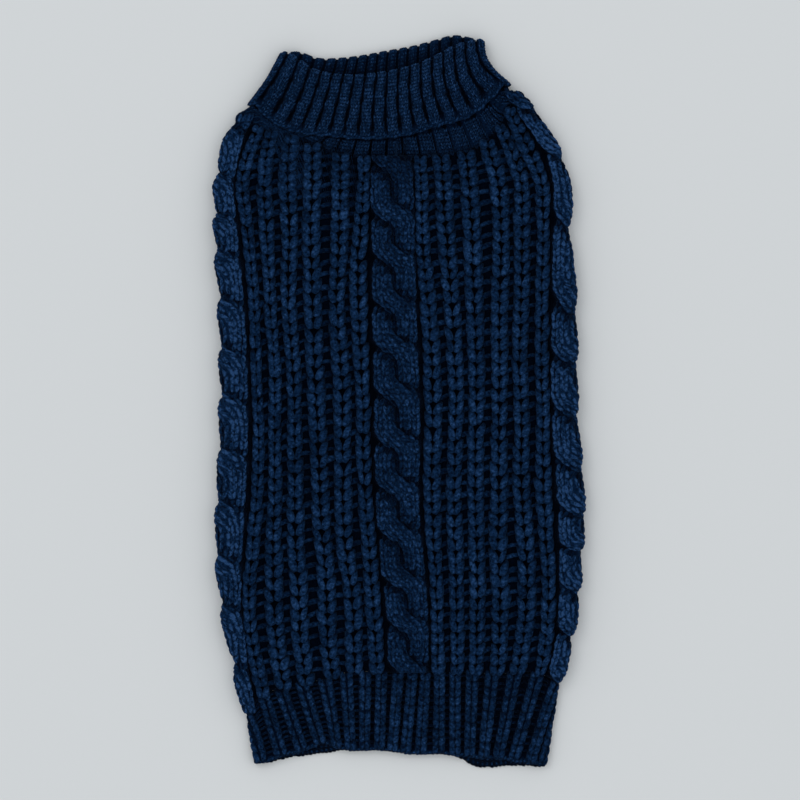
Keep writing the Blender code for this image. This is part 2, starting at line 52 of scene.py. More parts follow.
FRAME_MIDDLE = (0.0003, 0.0012)
CAMERA_HEIGHT = 3.0  # above the knit, which is about KNIT_HEIGHT thick
KNIT_HEIGHT = 0.006
SENSOR_MM = 36.0
CAMERA_REACH = 50.0
SOFTBOX_PLACE = (-2.4, 2.4, 3.9)
SOFTBOX_SIZE = 2.1
SOFTBOX_POWER = 24.0

scene = bpy.context.scene
scene.view_settings.view_transform = "Standard"
scene.view_settings.look = "None"

floor_mesh = bpy.data.meshes.new("floor")
half = FLOOR_SIZE / 2
floor_mesh.from_pydata(
    [(-half, -half, 0.0), (half, -half, 0.0), (half, half, 0.0), (-half, half, 0.0)], [], [(0, 1, 2, 3)]
)
floor = bpy.data.objects.new("floor", floor_mesh)
scene.collection.objects.link(floor)
floor_paint = bpy.data.materials.new("pale_surface")
floor_paint.use_nodes = True
floor_shader = floor_paint.node_tree.nodes["Principled BSDF"]
floor_shader.inputs["Base Color"].default_value = FLOOR_GREY
floor_shader.inputs["Roughness"].default_value = 1.0
floor_shader.inputs["Specular IOR Level"].default_value = 0.0
floor_mesh.materials.append(floor_paint)

room = bpy.data.worlds.new("room")
room.use_nodes = True
room.node_tree.nodes["Background"].inputs["Color"].default_value = ROOM_GREY
room.node_tree.nodes["Background"].inputs["Strength"].default_value = ROOM_STRENGTH
scene.world = room

softbox = bpy.data.lights.new("upper_left_softbox", "AREA")
softbox.size = SOFTBOX_SIZE
softbox.energy = SOFTBOX_POWER
softbox_object = bpy.data.objects.new("upper_left_softbox", softbox)
softbox_object.location = SOFTBOX_PLACE
facing = -np.array(SOFTBOX_PLACE)
softbox_object.rotation_euler = (
    float(np.arccos(-facing[2] / np.linalg.norm(facing))),
    0.0,
    float(np.arctan2(facing[1], facing[0]) - np.pi / 2),
)
scene.collection.objects.link(softbox_object)

camera = bpy.data.cameras.new("overhead_camera")
camera.sensor_width = SENSOR_MM
camera.lens = SENSOR_MM * CAMERA_HEIGHT / (FRAME_PIXELS * PIXEL)
camera.clip_end = CAMERA_REACH
camera_object = bpy.data.objects.new("overhead_camera", camera)
camera_object.location = (FRAME_MIDDLE[0], FRAME_MIDDLE[1], CAMERA_HEIGHT + KNIT_HEIGHT)
scene.collection.objects.link(camera_object)
scene.camera = camera_object


# ---------------------------------------------------------------- back panel
# Chunky rib knit in navy acrylic and wool: twelve columns of plump V stitches between a rope cable
# down the middle and one round each side. Knitted in one piece from the hem up, and wrapped round
# both sides to its seams under the coat.
PANEL_WALL = 0.0026
SEAM_GAP = 0.0003
BACK_HEIGHT = 2 * PANEL_WALL + SEAM_GAP
FLANGE = 0.0120
FOLD_SPREAD = 0.0140
LENS = 0.0117
CABLE_HEIGHT = 0.0034
CABLE_CROSSING_LIFT = 0.0009
CABLE_CROSSING_SHARE = 0.80
CABLE_BACK_DROP = 0.0012  # how far a strand sinks where it passes behind
STRAND_PLACE = 0.44
STRAND_HALF_WIDTH = 0.54
STRAND_EASE = 0.12
STRAND_SLANT = (0.30, 0.90)  # how much wider a strand gets where it crosses, below and above its middle
CABLE_EDGE_FADE = 0.18
SIDE_CABLE_UNDER = 0.0045

SECTION_COLUMNS = (
    "y", "left", "cable_left", "middle_left", "middle_right", "cable_right", "right", "fold_height",
)
SECTIONS = (
    (-0.1750, -0.0825, -0.0780, -0.0055, 0.0150, 0.0760, 0.0840, 0.0056),
    (-0.1530, -0.0875, -0.0820, -0.0065, 0.0155, 0.0805, 0.0875, 0.0066),
    (-0.1310, -0.0925, -0.0845, -0.0070, 0.0165, 0.0855, 0.0930, 0.0078),
    (-0.1090, -0.0965, -0.0865, -0.0085, 0.0160, 0.0870, 0.0965, 0.0084),
    (-0.0870, -0.0985, -0.0860, -0.0110, 0.0140, 0.0870, 0.0980, 0.0085),
    (-0.0650, -0.0985, -0.0845, -0.0130, 0.0120, 0.0865, 0.0995, 0.0085),
    (-0.0070, -0.0965, -0.0825, -0.0145, 0.0120, 0.0830, 0.0960, 0.0085),
    (0.0505, -0.0970, -0.0845, -0.0155, 0.0100, 0.0830, 0.0950, 0.0085),
    (0.1000, -0.0995, -0.0890, -0.0160, 0.0090, 0.0840, 0.0920, 0.0085),
    (0.1205, -0.0990, -0.0905, -0.0165, 0.0080, 0.0840, 0.0915, 0.0080),
    (0.1345, -0.0970, -0.0880, -0.0165, 0.0075, 0.0805, 0.0880, 0.0073),
    (0.1470, -0.0925, -0.0845, -0.0165, 0.0070, 0.0735, 0.0810, 0.0064),
    (0.1595, -0.0865, -0.0790, -0.0170, 0.0065, 0.0645, 0.0735, 0.0058),
    (0.1730, -0.0780, -0.0725, -0.0175, 0.0060, 0.0555, 0.0615, 0.0056),
)
# Middles of the twelve columns of V stitches: y, then x of six left of the middle cable and six
# right of it
WALE_MIDDLES = (
    (
        -0.1583, -0.0756, -0.0635, -0.0503, -0.0365, -0.0233, -0.0118,
        0.0212, 0.0311, 0.0410, 0.0520, 0.0636, 0.0757,
    ),
    (
        -0.1363, -0.0805, -0.0669, -0.0533, -0.0391, -0.0251, -0.0127,
        0.0210, 0.0315, 0.0423, 0.0542, 0.0674, 0.0799,
    ),
    (
        -0.1088, -0.0829, -0.0690, -0.0547, -0.0400, -0.0263, -0.0144,
        0.0204, 0.0316, 0.0431, 0.0555, 0.0700, 0.0822,
    ),
    (
        -0.0703, -0.0801, -0.0692, -0.0576, -0.0432, -0.0303, -0.0173,
        0.0182, 0.0306, 0.0419, 0.0545, 0.0685, 0.0806,
    ),
    (
        -0.0373, -0.0781, -0.0683, -0.0578, -0.0444, -0.0311, -0.0192,
        0.0182, 0.0306, 0.0416, 0.0545, 0.0669, 0.0793,
    ),
    (
        0.0012, -0.0784, -0.0686, -0.0581, -0.0462, -0.0318, -0.0199,
        0.0189, 0.0311, 0.0424, 0.0551, 0.0663, 0.0782,
    ),
    (
        0.0562, -0.0802, -0.0714, -0.0606, -0.0476, -0.0346, -0.0227,
        0.0157, 0.0284, 0.0410, 0.0551, 0.0669, 0.0787,
    ),
    (
        0.1002, -0.0844, -0.0739, -0.0606, -0.0486, -0.0332, -0.0213,
        0.0124, 0.0258, 0.0397, 0.0552, 0.0673, 0.0793,
    ),
    (
        0.1222, -0.0856, -0.0748, -0.0620, -0.0481, -0.0325, -0.0206,
        0.0119, 0.0243, 0.0382, 0.0536, 0.0660, 0.0775,
    ),
    (
        0.1387, -0.0818, -0.0730, -0.0610, -0.0481, -0.0327, -0.0206,
        0.0113, 0.0229, 0.0361, 0.0494, 0.0605, 0.0705,
    ),
    (
        0.1587, -0.0745, -0.0670, -0.0575, -0.0470, -0.0327, -0.0206,
        0.0113, 0.0229, 0.0350, 0.0450, 0.0530, 0.0600,
    ),
)
# Notches between the strands of each cable, from hem to neck, and how many turns past the middle
# of a crossing each of them lies. On the side cables the notches show at the fold.
LEFT_NOTCHES = (
    -0.2050, -0.1745, -0.1430, -0.1100, -0.0840, -0.0545, -0.0255,
    0.0040, 0.0300, 0.0575, 0.0840, 0.1035, 0.1260, 0.1525, 0.1780,
)
MIDDLE_NOTCHES = (
    -0.1705, -0.1460, -0.1220, -0.0985, -0.0725, -0.0465, -0.0215,
    0.0050, 0.0305, 0.0540, 0.0800, 0.1030, 0.1315, 0.1560,
)
RIGHT_NOTCHES = (
    -0.1790, -0.1545, -0.1290, -0.1040, -0.0815, -0.0615, -0.0360,
    -0.0070, 0.0220, 0.0500, 0.0960, 0.1340, 0.1605, 0.1800,
)
LEFT_CROSSINGS = (LEFT_NOTCHES, 0.22)
MIDDLE_CROSSINGS = (MIDDLE_NOTCHES, 0.0)
RIGHT_CROSSINGS = (RIGHT_NOTCHES, -0.14)
NOTCH_DEPTH = 0.0027  # how far the outline of a side cable draws in between two strands
LOBE_HEIGHT = 0.0007  # and how far each strand swells it out
NECK_SEAM = (
    (-0.0890, 0.1600), (-0.0870, 0.1580), (-0.0820, 0.1535), (-0.0760, 0.1515),
    (-0.0675, 0.1485), (-0.0525, 0.1445), (-0.0425, 0.1390), (-0.0320, 0.1365),
    (-0.0015, 0.1355), (0.0290, 0.1368), (0.0390, 0.1390), (0.0495, 0.1455),
    (0.0565, 0.1550), (0.0610, 0.1645), (0.0640, 0.1710),
)
HEM_SEAM = (
    (-0.0855, -0.1765), (-0.0835, -0.1730), (-0.0800, -0.1675), (-0.0765, -0.1625),
    (-0.0645, -0.1575), (-0.0435, -0.1530), (-0.0325, -0.1495), (0.0020, -0.1490),
    (0.0390, -0.1490), (0.0590, -0.1493), (0.0735, -0.1490), (0.0800, -0.1505),
    (0.0865, -0.1550), (0.0895, -0.1570),
)
# Stretches of Y in which the panels' lines meet the seams, and how often a stretch is halved
HEM_REACH = (-0.1900, -0.1200)
NECK_REACH = (0.1100, 0.1850)
HALVINGS = 26
SHELL_ROWS = 200
INSIDE_ROWS = 24
CABLE_LINES = 23
WALE_LINES = 26
SHELL_SINK = 0.0010  # how far the ground between the yarn lies below the outer form
V_PITCH = 0.0064
V_HALF_WIDTH = 0.00184
V_HALF_HEIGHT = 0.00135
V_LENGTH = 0.0079
USUAL_ROOM = 0.0052  # half a column's usual width
NECK_GATHER = 0.022  # depth of the dense rows below the neck seam
NECK_CROWD = 0.055  # how much closer together the rows get towards the seams
HEM_CROWD = 0.030
ROPE_PITCH = 0.0042  # between the stitches of a cable
ROPE_LENGTH = 0.0057
ROPE_HALF_WIDTH = 0.00128
ROPE_HALF_HEIGHT = 0.00090
ROPE_WALES = 3  # columns of stitches on each strand
STRAND_REACH = 0.92  # of a strand's half width, where its stitches end
SEAM_LAP = 0.0014  # how far the first stitches lap over a seam
MM = 0.001
CELL_MARGIN = 0.05  # round each length of yarn in the layout for baking, as a share of its cell
random = np.random.default_rng(641)


def smooth_line(places, values, at):
    """Values on a smooth curve through a table's rows."""
    places = np.asarray(places, float)
    values = np.asarray(values, float)
    slopes = np.gradient(values, places)
    first = np.clip(np.searchsorted(places, at) - 1, 0, len(places) - 2)
    span = places[first + 1] - places[first]
    t = np.clip((at - places[first]) / span, 0.0, 1.0)
    rise, fall = slopes[first] * span, slopes[first + 1] * span
    bend = (2 * t**3 - 3 * t**2 + 1) * values[first] + (3 * t**2 - 2 * t**3) * values[first + 1]
    return bend + (t**3 - 2 * t**2 + t) * rise + (t**3 - t**2) * fall


def table_column(table, column, at):
    """A table's column between its rows, which are placed by their first value."""
    values = np.array(table)
    return smooth_line(values[:, 0], values[:, column], at)


def section(name, y):
    return table_column(SECTIONS, SECTION_COLUMNS.index(name), y)


def wale_middle(index, y):
    return table_column(WALE_MIDDLES, index + 1, y)


def height_at(line, x):
    return table_column(line, 1, x)


def side_fold(side, y):
    """The fold line of the coat's left (-1) or right (1) side."""
    return section("left" if side < 0 else "right", y)


def fold_radius(y):
    return section("fold_height", y) / 2


def neck_y(x, facing_up):
    """The neck seam at x, which stands higher on the belly side."""
    share = np.clip((x - NECK_SEAM[0][0]) / (NECK_SEAM[-1][0] - NECK_SEAM[0][0]), 0.0, 1.0)
    return height_at(NECK_SEAM, x) + (1 - facing_up) / 2 * LENS * np.sin(np.pi * share)


def half_gap(line, x):
    """Half a seam's gap along Y, even where the seam is steep."""
    step = 0.0005
    slope = (height_at(line, x + step) - height_at(line, x - step)) / (2 * step)
    return SEAM_GAP / 2 * np.sqrt(1 + slope**2) + 0.00005


def back_cloth(side, along, y, rise):
    """Points and normals on the back, at a distance over the cloth from the top of a side fold."""
    along, y, rise = np.broadcast_arrays(along, y, rise)
    radius = fold_radius(y)
    middle = side_fold(side, y) - side * radius
    round_fold = np.clip(along / radius, 0, np.pi)
    nx, nz = side * np.sin(round_fold), np.cos(round_fold)
    settle = np.exp(-((np.minimum(along, 0) / FOLD_SPREAD) ** 2))
    top = BACK_HEIGHT + (2 * radius - BACK_HEIGHT) * settle
    x = middle + nx * radius + side * np.minimum(along, 0) - side * np.maximum(along - np.pi * radius, 0)
    z = np.where(along < 0, top, radius + nz * radius)
    return np.stack([x + nx * rise, y, z + nz * rise], axis=-1), np.stack([nx, 0 * nx, nz], axis=-1)


def on_top(x, y, rise):
    """The same for a place on top of the coat, given by its x."""
    radius = fold_radius(y)
    from_left = -(x - side_fold(-1, y)) + radius
    from_right = (x - side_fold(1, y)) + radius
    points, normals = back_cloth(-1, np.minimum(from_left, 0), y, rise)
    settle = np.exp(-((np.minimum(from_right, 0) / FOLD_SPREAD) ** 2))
    points[..., 2] += (2 * radius - BACK_HEIGHT) * settle
    return points, normals


def cable_turns(y, crossings):
    """How many turns a cable has made at y, with a crossing's start at each whole number."""
    notches, lead = crossings
    return np.interp(y, notches, np.arange(len(notches))) + CABLE_CROSSING_SHARE / 2 + lead


def strand_place(turn):
    """A strand's place across its cable, its lift and its slant, at a number of turns along it."""
    turn = turn % 2
    front = turn < 1
    swing = np.clip(np.where(front, turn, turn - 1) / CABLE_CROSSING_SHARE, 0, 1)
    across = np.cos(np.pi * swing - STRAND_EASE * np.sin(2 * np.pi * swing))
    lift = np.sin(np.pi * swing)
    slope = np.pi * STRAND_PLACE * lift / CABLE_CROSSING_SHARE
    return np.where(front, across, -across) * STRAND_PLACE, np.where(front, lift, -lift), slope


def strand_width(slope, above):
    """Half the width that a strand takes across its cable, on one side of its middle."""
    slant = np.where(above > 0, STRAND_SLANT[1], STRAND_SLANT[0])
    return STRAND_HALF_WIDTH * np.sqrt(1 + slant * slope**2)


def strand_height(across, y, crossings, strand):
    """Height of one strand of a cable over the panel."""
    place, lift, slope = strand_place(cable_turns(y, crossings) + strand)
    dome = np.sqrt(np.clip(1 - ((across - place) / strand_width(slope, across - place)) ** 2, 0, 1))
    edge = np.clip((1 - np.abs(across)) / CABLE_EDGE_FADE + 0.44, 0, 1)
    lift = np.where(lift > 0, CABLE_CROSSING_LIFT, CABLE_BACK_DROP) * lift
    return dome * (CABLE_HEIGHT + lift) * edge


def middle_cable(across, y, rise):
    """Points on the middle cable's ground, across from -1 at its left to 1 at its right."""
    start, end = section("middle_left", y), section("middle_right", y)
    return on_top(start + (across + 1) / 2 * (end - start), y, rise)


def side_cable(side):
    """The same for a side cable, whose outer edge runs round the fold and under the coat."""
    notches, _ = LEFT_CROSSINGS if side < 0 else RIGHT_CROSSINGS

    def place(across, y, rise):
        radius = fold_radius(y)
        inner = section("cable_left" if side < 0 else "cable_right", y)
        start = side * (inner - side_fold(side, y)) + radius
        along = start + (1 + side * across) / 2 * (np.pi * radius + SIDE_CABLE_UNDER - start)
        nz = np.cos(np.clip(along / radius, 0, np.pi))
        part = np.interp(y, notches, np.arange(len(notches))) % 1
        lobe = np.sin(np.pi * part) ** 0.6
        outline = (LOBE_HEIGHT * lobe - NOTCH_DEPTH * (1 - lobe)) * (1 - nz**2)
        return back_cloth(side, along, y, rise * np.clip(0.5 + 0.9 * nz, 0, 1) + outline)

    return place


def hem_end(x):
    """Where the panels end at the hem seam."""
    return height_at(HEM_SEAM, x) + half_gap(HEM_SEAM, x)


def neck_end(x, facing_up):
    """Where they end at the neck seam."""
    return neck_y(x, facing_up) - half_gap(NECK_SEAM, x)


def seam_ends(place):
    """The y at which a line meets the hem seam and the neck seam, found by halving."""
    ends = []
    for (low, high), at_neck in ((HEM_REACH, False), (NECK_REACH, True)):
        for _ in range(HALVINGS):
            y = (low + high) / 2
            point, normal = place(np.array(y))
            x = point[..., 0]
            if y < (neck_end(x, normal[..., 2]) if at_neck else hem_end(x)):
                low = y
            else:
                high = y
        ends.append((low + high) / 2)
    return ends


def make_mesh(name, points, quads, extra_faces=(), shade=None, corners=None, yarn=None):
    """A mesh object from arrays, with a shade for each point and two UV maps for its quads."""
    mesh = bpy.data.meshes.new(name)
    points = np.asarray(points, np.float32).reshape(-1, 3).copy()
    points[:, 2] = np.maximum(points[:, 2], 0.0)
    sizes = [4] * len(quads) + [len(face) for face in extra_faces]
    corners_of = np.concatenate(
        [np.asarray(quads, np.int32).ravel()] + [np.asarray(face, np.int32) for face in extra_faces]
    )
    mesh.vertices.add(len(points))
    mesh.vertices.foreach_set("co", points.ravel())
    mesh.loops.add(len(corners_of))
    mesh.loops.foreach_set("vertex_index", corners_of)
    mesh.polygons.add(len(sizes))
    mesh.polygons.foreach_set("loop_start", np.cumsum([0] + sizes[:-1]).astype(np.int32))
    mesh.update(calc_edges=True)
    mesh.validate()
    mesh.shade_smooth()
    if shade is not None:
        layer = mesh.attributes.new("shade", "FLOAT", "POINT")
        layer.data.foreach_set("value", np.asarray(shade, np.float32).ravel())
    for layer_name, places in (("OFBake", corners), ("yarn", yarn)):
        if places is None:
            continue
        flat = np.zeros((len(corners_of), 2), np.float32)
        flat[: 4 * len(quads)] = np.asarray(places, np.float32).reshape(-1, 2)
        if len(corners_of) > 4 * len(quads):
            flat[4 * len(quads) :] = flat[:1]
        mesh.uv_layers.new(name=layer_name).data.foreach_set("uv", flat.ravel())
    made = bpy.data.objects.new(name, mesh)
    scene.collection.objects.link(made)
    return made


def lay_yarn(name, gathered, sides, foot=0.20, tip=0.15, mottle=0.22):
    """Many short lengths of yarn in one mesh, from batches of them.

    A batch holds paths and ups (lengths, rings, 3), half widths and half heights (lengths, rings)
    and a lightness for each length. The shade is painted light: light on top of a length and dark
    under it, and foot and tip say how much of it is left at its ends, as painted shade where the
    ends tuck under other yarn; mottle is its spread from place to place."""
    paths, ups, half_widths, half_heights, tone = map(np.concatenate, zip(*gathered))
    lengths, rings = paths.shape[:2]
    along = np.gradient(paths, axis=1)
    along /= np.linalg.norm(along, axis=-1, keepdims=True)
    across = np.cross(along, ups)
    across /= np.linalg.norm(across, axis=-1, keepdims=True)
    out = np.cross(across, along)
    turn = np.linspace(0, 2 * np.pi, sides, endpoint=False)
    points = (
        paths[:, :, None]
        + across[:, :, None] * (np.cos(turn) * half_widths[..., None])[..., None]
        + out[:, :, None] * (np.sin(turn) * half_heights[..., None])[..., None]
    )
    number = np.arange(lengths * rings * sides).reshape(lengths, rings, sides)
    a, b = number[:, :-1], number[:, 1:]
    quads = np.stack([a, b, np.roll(b, -1, axis=2), np.roll(a, -1, axis=2)], axis=-1).reshape(-1, 4)
    ends = list(number[:, 0]) + list(number[:, -1, ::-1])
    t = np.linspace(0, 1, rings)
    # Painted light: each length is lit on its top and dark under it, with painted shade at its ends
    painted_top_light = 0.5 + 0.5 * np.sin(turn)
    painted_end_shade = np.interp(t, (0.0, 0.22, 0.50, 1.0), (foot, 1.0, 0.95, tip))
    patchy = np.clip(random.normal(1.0, mottle, (lengths, rings, sides)), 0.2, 2.0)
    shade = tone[:, None, None] * painted_top_light**1.4 * painted_end_shade[None, :, None] * patchy
    columns = int(np.ceil(np.sqrt(lengths)))
    cell_x, cell_y = np.arange(lengths) % columns, np.arange(lengths) // columns
    ring, spoke = np.meshgrid(np.arange(rings - 1), np.arange(sides), indexing="ij")
    corner_u = np.stack([spoke, spoke, spoke + 1, spoke + 1], axis=-1) / sides
    corner_v = np.stack([ring, ring + 1, ring + 1, ring], axis=-1) / (rings - 1)
    baked = np.stack(
        [
            (cell_x[:, None, None, None] + CELL_MARGIN + (1 - 2 * CELL_MARGIN) * corner_u) / columns,
            (cell_y[:, None, None, None] + CELL_MARGIN + (1 - 2 * CELL_MARGIN) * corner_v) / columns,
        ],
        axis=-1,
    )
    length_of = np.linalg.norm(np.diff(paths, axis=1), axis=-1).sum(axis=1)
    twist = np.stack(
        [
            corner_u + 0 * cell_x[:, None, None, None],
            corner_v * length_of[:, None, None, None] / MM,
        ],
        axis=-1,
    )
    return make_mesh(name, points, quads, ends, shade, baked, twist)


def chance(mean, spread, count):
    """A chance value for each of many lengths of yarn, in a column."""
    return random.normal(mean, spread, count)[:, None]


def swell(t, start, span, power):
    """How thick a length of yarn is along itself: thin at its ends, full in its middle."""
    return np.sin(np.pi * (start + span * t)) ** power


def varied(mean, spread, count, low, high):
    """Chance lightnesses round a mean, kept between two limits."""
    return np.clip(random.normal(mean, spread, count), low, high)


def grid_quads(rows, columns, start=0, turn=False, wrap=False):
    """Quads between neighbouring lines of an array of points numbered row by row."""
    number = start + np.arange(rows * columns).reshape(rows, columns)
    if wrap:
        number = np.concatenate([number, number[:, :1]], axis=1)
    quads = np.stack([number[:-1, :-1], number[:-1, 1:], number[1:, 1:], number[1:, :-1]], axis=-1)
    quads = quads.reshape(-1, 4)
    return quads[:, ::-1] if turn else quads


class Shade:
    """A socket of a shader tree that can be used in arithmetic."""

    def __init__(self, tree, socket=None):
        self.tree = tree
        self.socket = socket

    def node(self, kind, settings, values, output=0):
        """A node with its settings, then the values or links of its sockets, as one output's Shade."""
        made = self.tree.nodes.new(kind)
        for key, value in settings.items():
            setattr(made, key, value)
        for key, value in values.items():
            if isinstance(value, Shade):
                self.tree.links.new(value.socket, made.inputs[key])
            else:
                made.inputs[key].default_value = value
        return Shade(self.tree, made.outputs[output])

    def maths(self, operation, *values):
        return self.node("ShaderNodeMath", {"operation": operation}, dict(enumerate(values)))

    def __add__(self, other):
        return self.maths("ADD", self, other)

    def __radd__(self, other):
        return self.maths("ADD", other, self)

    def __sub__(self, other):
        return self.maths("SUBTRACT", self, other)

    def __rsub__(self, other):
        return self.maths("SUBTRACT", other, self)

    def __mul__(self, other):
        return self.maths("MULTIPLY", self, other)

    def __rmul__(self, other):
        return self.maths("MULTIPLY", other, self)

    def __pow__(self, other):
        return self.maths("POWER", self, other)

    def sine(self):
        return self.maths("SINE", self)

    def clamped(self):
        return self.node("ShaderNodeClamp", {}, {"Value": self})

    def mixed(self, low, high):
        """A colour between two others, with this as its share of the second."""
        return self.node("ShaderNodeMix", {"data_type": "RGBA"}, {"Factor": self, 6: low, 7: high}, 2)


PLIES = 3
PLY_TURN_MM = 2.6
PLY_DEPTH = 0.16
GRAIN_DEPTH = 4.5
PATCH_SCALE = 60.0
SHADE_SHARE = 0.53  # of the way to the lit colour, on a crown of average lightness
FUZZ_HEIGHT = 0.0008
# The yarn's navy under painted light, full on a crown and dimmer on a flank, and the near-black painted
# shade of the creases
NAVY_CROWN_PAINTED_LIGHT = (0.0230, 0.0680, 0.1800, 1.0)
NAVY_FLANK_PAINTED_LIGHT = (0.0060, 0.0490, 0.1640, 1.0)
NAVY_PAINTED_SHADE = (0.0001, 0.0006, 0.0030, 1.0)
YARN_FINISH = {
    "Roughness": 0.95,
    "Specular IOR Level": 0.02,
    "Sheen Weight": 0.06,
    "Sheen Roughness": 0.35,
    "Sheen Tint": (0.25, 0.50, 0.95, 1.0),
}


def knit_material(name, grain):
    """Matte wool-like yarn, grainy with fibres, with painted light and shade: paler on its crowns, nearly
    black in the creases.
    """
    made = bpy.data.materials.new(name)
    made.use_nodes = True
    tree = Shade(made.node_tree)
    shader = made.node_tree.nodes["Principled BSDF"]
    place = tree.node("ShaderNodeTexCoord", {}, {}, "Object")

    def noise(scale, **detail):
        return tree.node("ShaderNodeTexNoise", {}, {"Vector": place, "Scale": scale, **detail}, "Fac")

    fibres = noise(grain, Detail=3.0, Roughness=0.75)
    patches = noise(PATCH_SCALE, Detail=2.0)
    fuzz = noise(2.0 * grain, Detail=4.0, Roughness=0.7)
    shade = tree.node("ShaderNodeAttribute", {"attribute_name": "shade"}, {}, "Fac")
    twist = tree.node("ShaderNodeUVMap", {"uv_map": "yarn"}, {}, "UV")
    round_yarn = tree.node("ShaderNodeSeparateXYZ", {}, {"Vector": twist}, "X")
    along_yarn = Shade(made.node_tree, round_yarn.socket.node.outputs["Y"])
    plies = (round_yarn * (2 * np.pi * PLIES) + along_yarn * (2 * np.pi / PLY_TURN_MM)).sine()
    grainy = (fibres - 0.5) * GRAIN_DEPTH + 1.0
    # Painted light: each point's shade, roughened by fibres, patches and plies, sets how far its colour
    # goes from painted shade to the lit navy
    light = (SHADE_SHARE * shade * (grainy * (0.75 + 0.50 * patches) * (1.0 + PLY_DEPTH * plies))).clamped()
    colour = light.mixed(NAVY_PAINTED_SHADE, light.mixed(NAVY_FLANK_PAINTED_LIGHT, NAVY_CROWN_PAINTED_LIGHT))
    bump = tree.node(
        "ShaderNodeBump",
        {},
        {"Strength": 1.0, "Distance": FUZZ_HEIGHT, "Height": fuzz + 0.8 * fibres + 0.12 * plies},
        "Normal",
    )
    for finish, value in YARN_FINISH.items():
        shader.inputs[finish].default_value = value
    for socket, worked_out in (("Base Color", colour), ("Normal", bump)):
        made.node_tree.links.new(worked_out.socket, shader.inputs[socket])
    return made


body_yarn = knit_material("body_yarn", grain=700.0)


def shell_lines():
    """The panel's lines from its left edge to its right, as functions of y, with their painted shades."""
    lines = []

    def flange(side, share):
        def place(y):
            under = np.pi * fold_radius(y) + share * FLANGE
            return back_cloth(side, under, y, np.full_like(y, -0.5 * SHELL_SINK))

        # painted shade on the flange that lies under the coat
        return place, lambda y: 0.12 + 0 * y

    def rope(place_on, crossings, across):
        def rise(y):
            return np.maximum(*(strand_height(across, y, crossings, strand) for strand in (0, 1)))

        def place(y):
            return place_on(across, y, rise(y) - 0.0004)

        # painted shade, darker the lower the cable's ground lies
        return place, lambda y: 0.45 * np.clip(rise(y) / CABLE_HEIGHT, 0, 1) ** 4

    def ground(inner, outer, share):
        def place(y):
            start, end = section(inner, y), section(outer, y)
            return on_top(start + share * (end - start), y, np.full_like(y, -SHELL_SINK))

        # near-black painted shade on the ground between the columns of stitches
        return place, lambda y: 0.03 + 0 * y

    shares = np.linspace(-1, 1, CABLE_LINES)
    ground_shares = np.linspace(0, 1, WALE_LINES + 2)[1:-1]
    lines += [flange(-1, share) for share in (1.0, 0.6)]
    lines += [rope(side_cable(-1), LEFT_CROSSINGS, share) for share in shares]
    lines += [ground("cable_left", "middle_left", share) for share in ground_shares]
    lines += [rope(middle_cable, MIDDLE_CROSSINGS, share) for share in shares]
    lines += [ground("middle_right", "cable_right", share) for share in ground_shares]
    lines += [rope(side_cable(1), RIGHT_CROSSINGS, share) for share in shares]
    lines += [flange(1, share) for share in (0.6, 1.0)]
    return lines


def back_shell():
    """The panel's cloth under its yarn: ground and ropes outside, plain inside."""
    outer, inner, shades = [], [], []
    for place, shade in shell_lines():
        low, high = seam_ends(place)
        rows = np.linspace(low, high, SHELL_ROWS)
        outer.append(place(rows)[0])
        shades.append(shade(rows))
        points, normals = place(np.linspace(low, high, INSIDE_ROWS))
        inner.append(points - normals * (PANEL_WALL - SHELL_SINK))
    outer, inner = np.array(outer), np.array(inner)
    # The inside follows the plain cloth, not the ropes.
    plain = BACK_HEIGHT - PANEL_WALL
    flat = (inner[..., 2] > plain) & (np.abs(inner[..., 0]) < 0.075)
    inner[..., 2] = np.where(flat, plain, inner[..., 2])
    lines = len(outer)
    points = np.concatenate([outer.reshape(-1, 3), inner.reshape(-1, 3)])
    # the inside gets a flat painted shade
    shade = np.concatenate([np.ravel(shades), np.full(lines * INSIDE_ROWS, 0.2)])
    start = lines * SHELL_ROWS
    quads = [grid_quads(lines, SHELL_ROWS), grid_quads(lines, INSIDE_ROWS, start, turn=True)]
    number_out = np.arange(start).reshape(lines, SHELL_ROWS)
    number_in = start + np.arange(lines * INSIDE_ROWS).reshape(lines, INSIDE_ROWS)
    rims = [
        list(number_out[0])[::-1] + list(number_in[0]),
        list(number_out[-1]) + list(number_in[-1][::-1]),
    ]
    for end, flip in ((0, True), (-1, False)):
        out, back = number_out[:, end], number_in[:, end]
        strip = np.stack([out[:-1], out[1:], back[1:], back[:-1]], axis=-1)
        quads.append(strip if flip else strip[:, ::-1])
    return make_mesh("back_panel_cloth", points, np.concatenate(quads), rims, shade)


back_panel_cloth = back_shell()


def wale_room(index, y):
    """Half the width that a column of stitches has between its neighbours."""
    here = wale_middle(index, y)
    before = 2 * section("cable_left" if index == 0 else "middle_right", y) - here
    after = 2 * section("middle_left" if index == 5 else "cable_right", y) - here
    if index not in (0, 6):
        before = wale_middle(index - 1, y)
    if index not in (5, 11):
        after = wale_middle(index + 1, y)
    return (after - before) / 4


def v_rows(index, pitch):
    """Where the V stitches of one column start and how far apart, closer together at both seams."""

    def place(y):
        return on_top(wale_middle(index, y), y, 0 * y)

    low, high = seam_ends(place)
    low -= SEAM_LAP
    high -= 0.0002
    count = int(round((high - low) / pitch))
    u = np.arange(count + 1) / count
    u = (1 + NECK_CROWD + HEM_CROWD) * u - NECK_CROWD * u**8 - HEM_CROWD * (1 - (1 - u) ** 8)
    rows = low + (high - low) * u
    return rows[:-1], np.diff(rows)


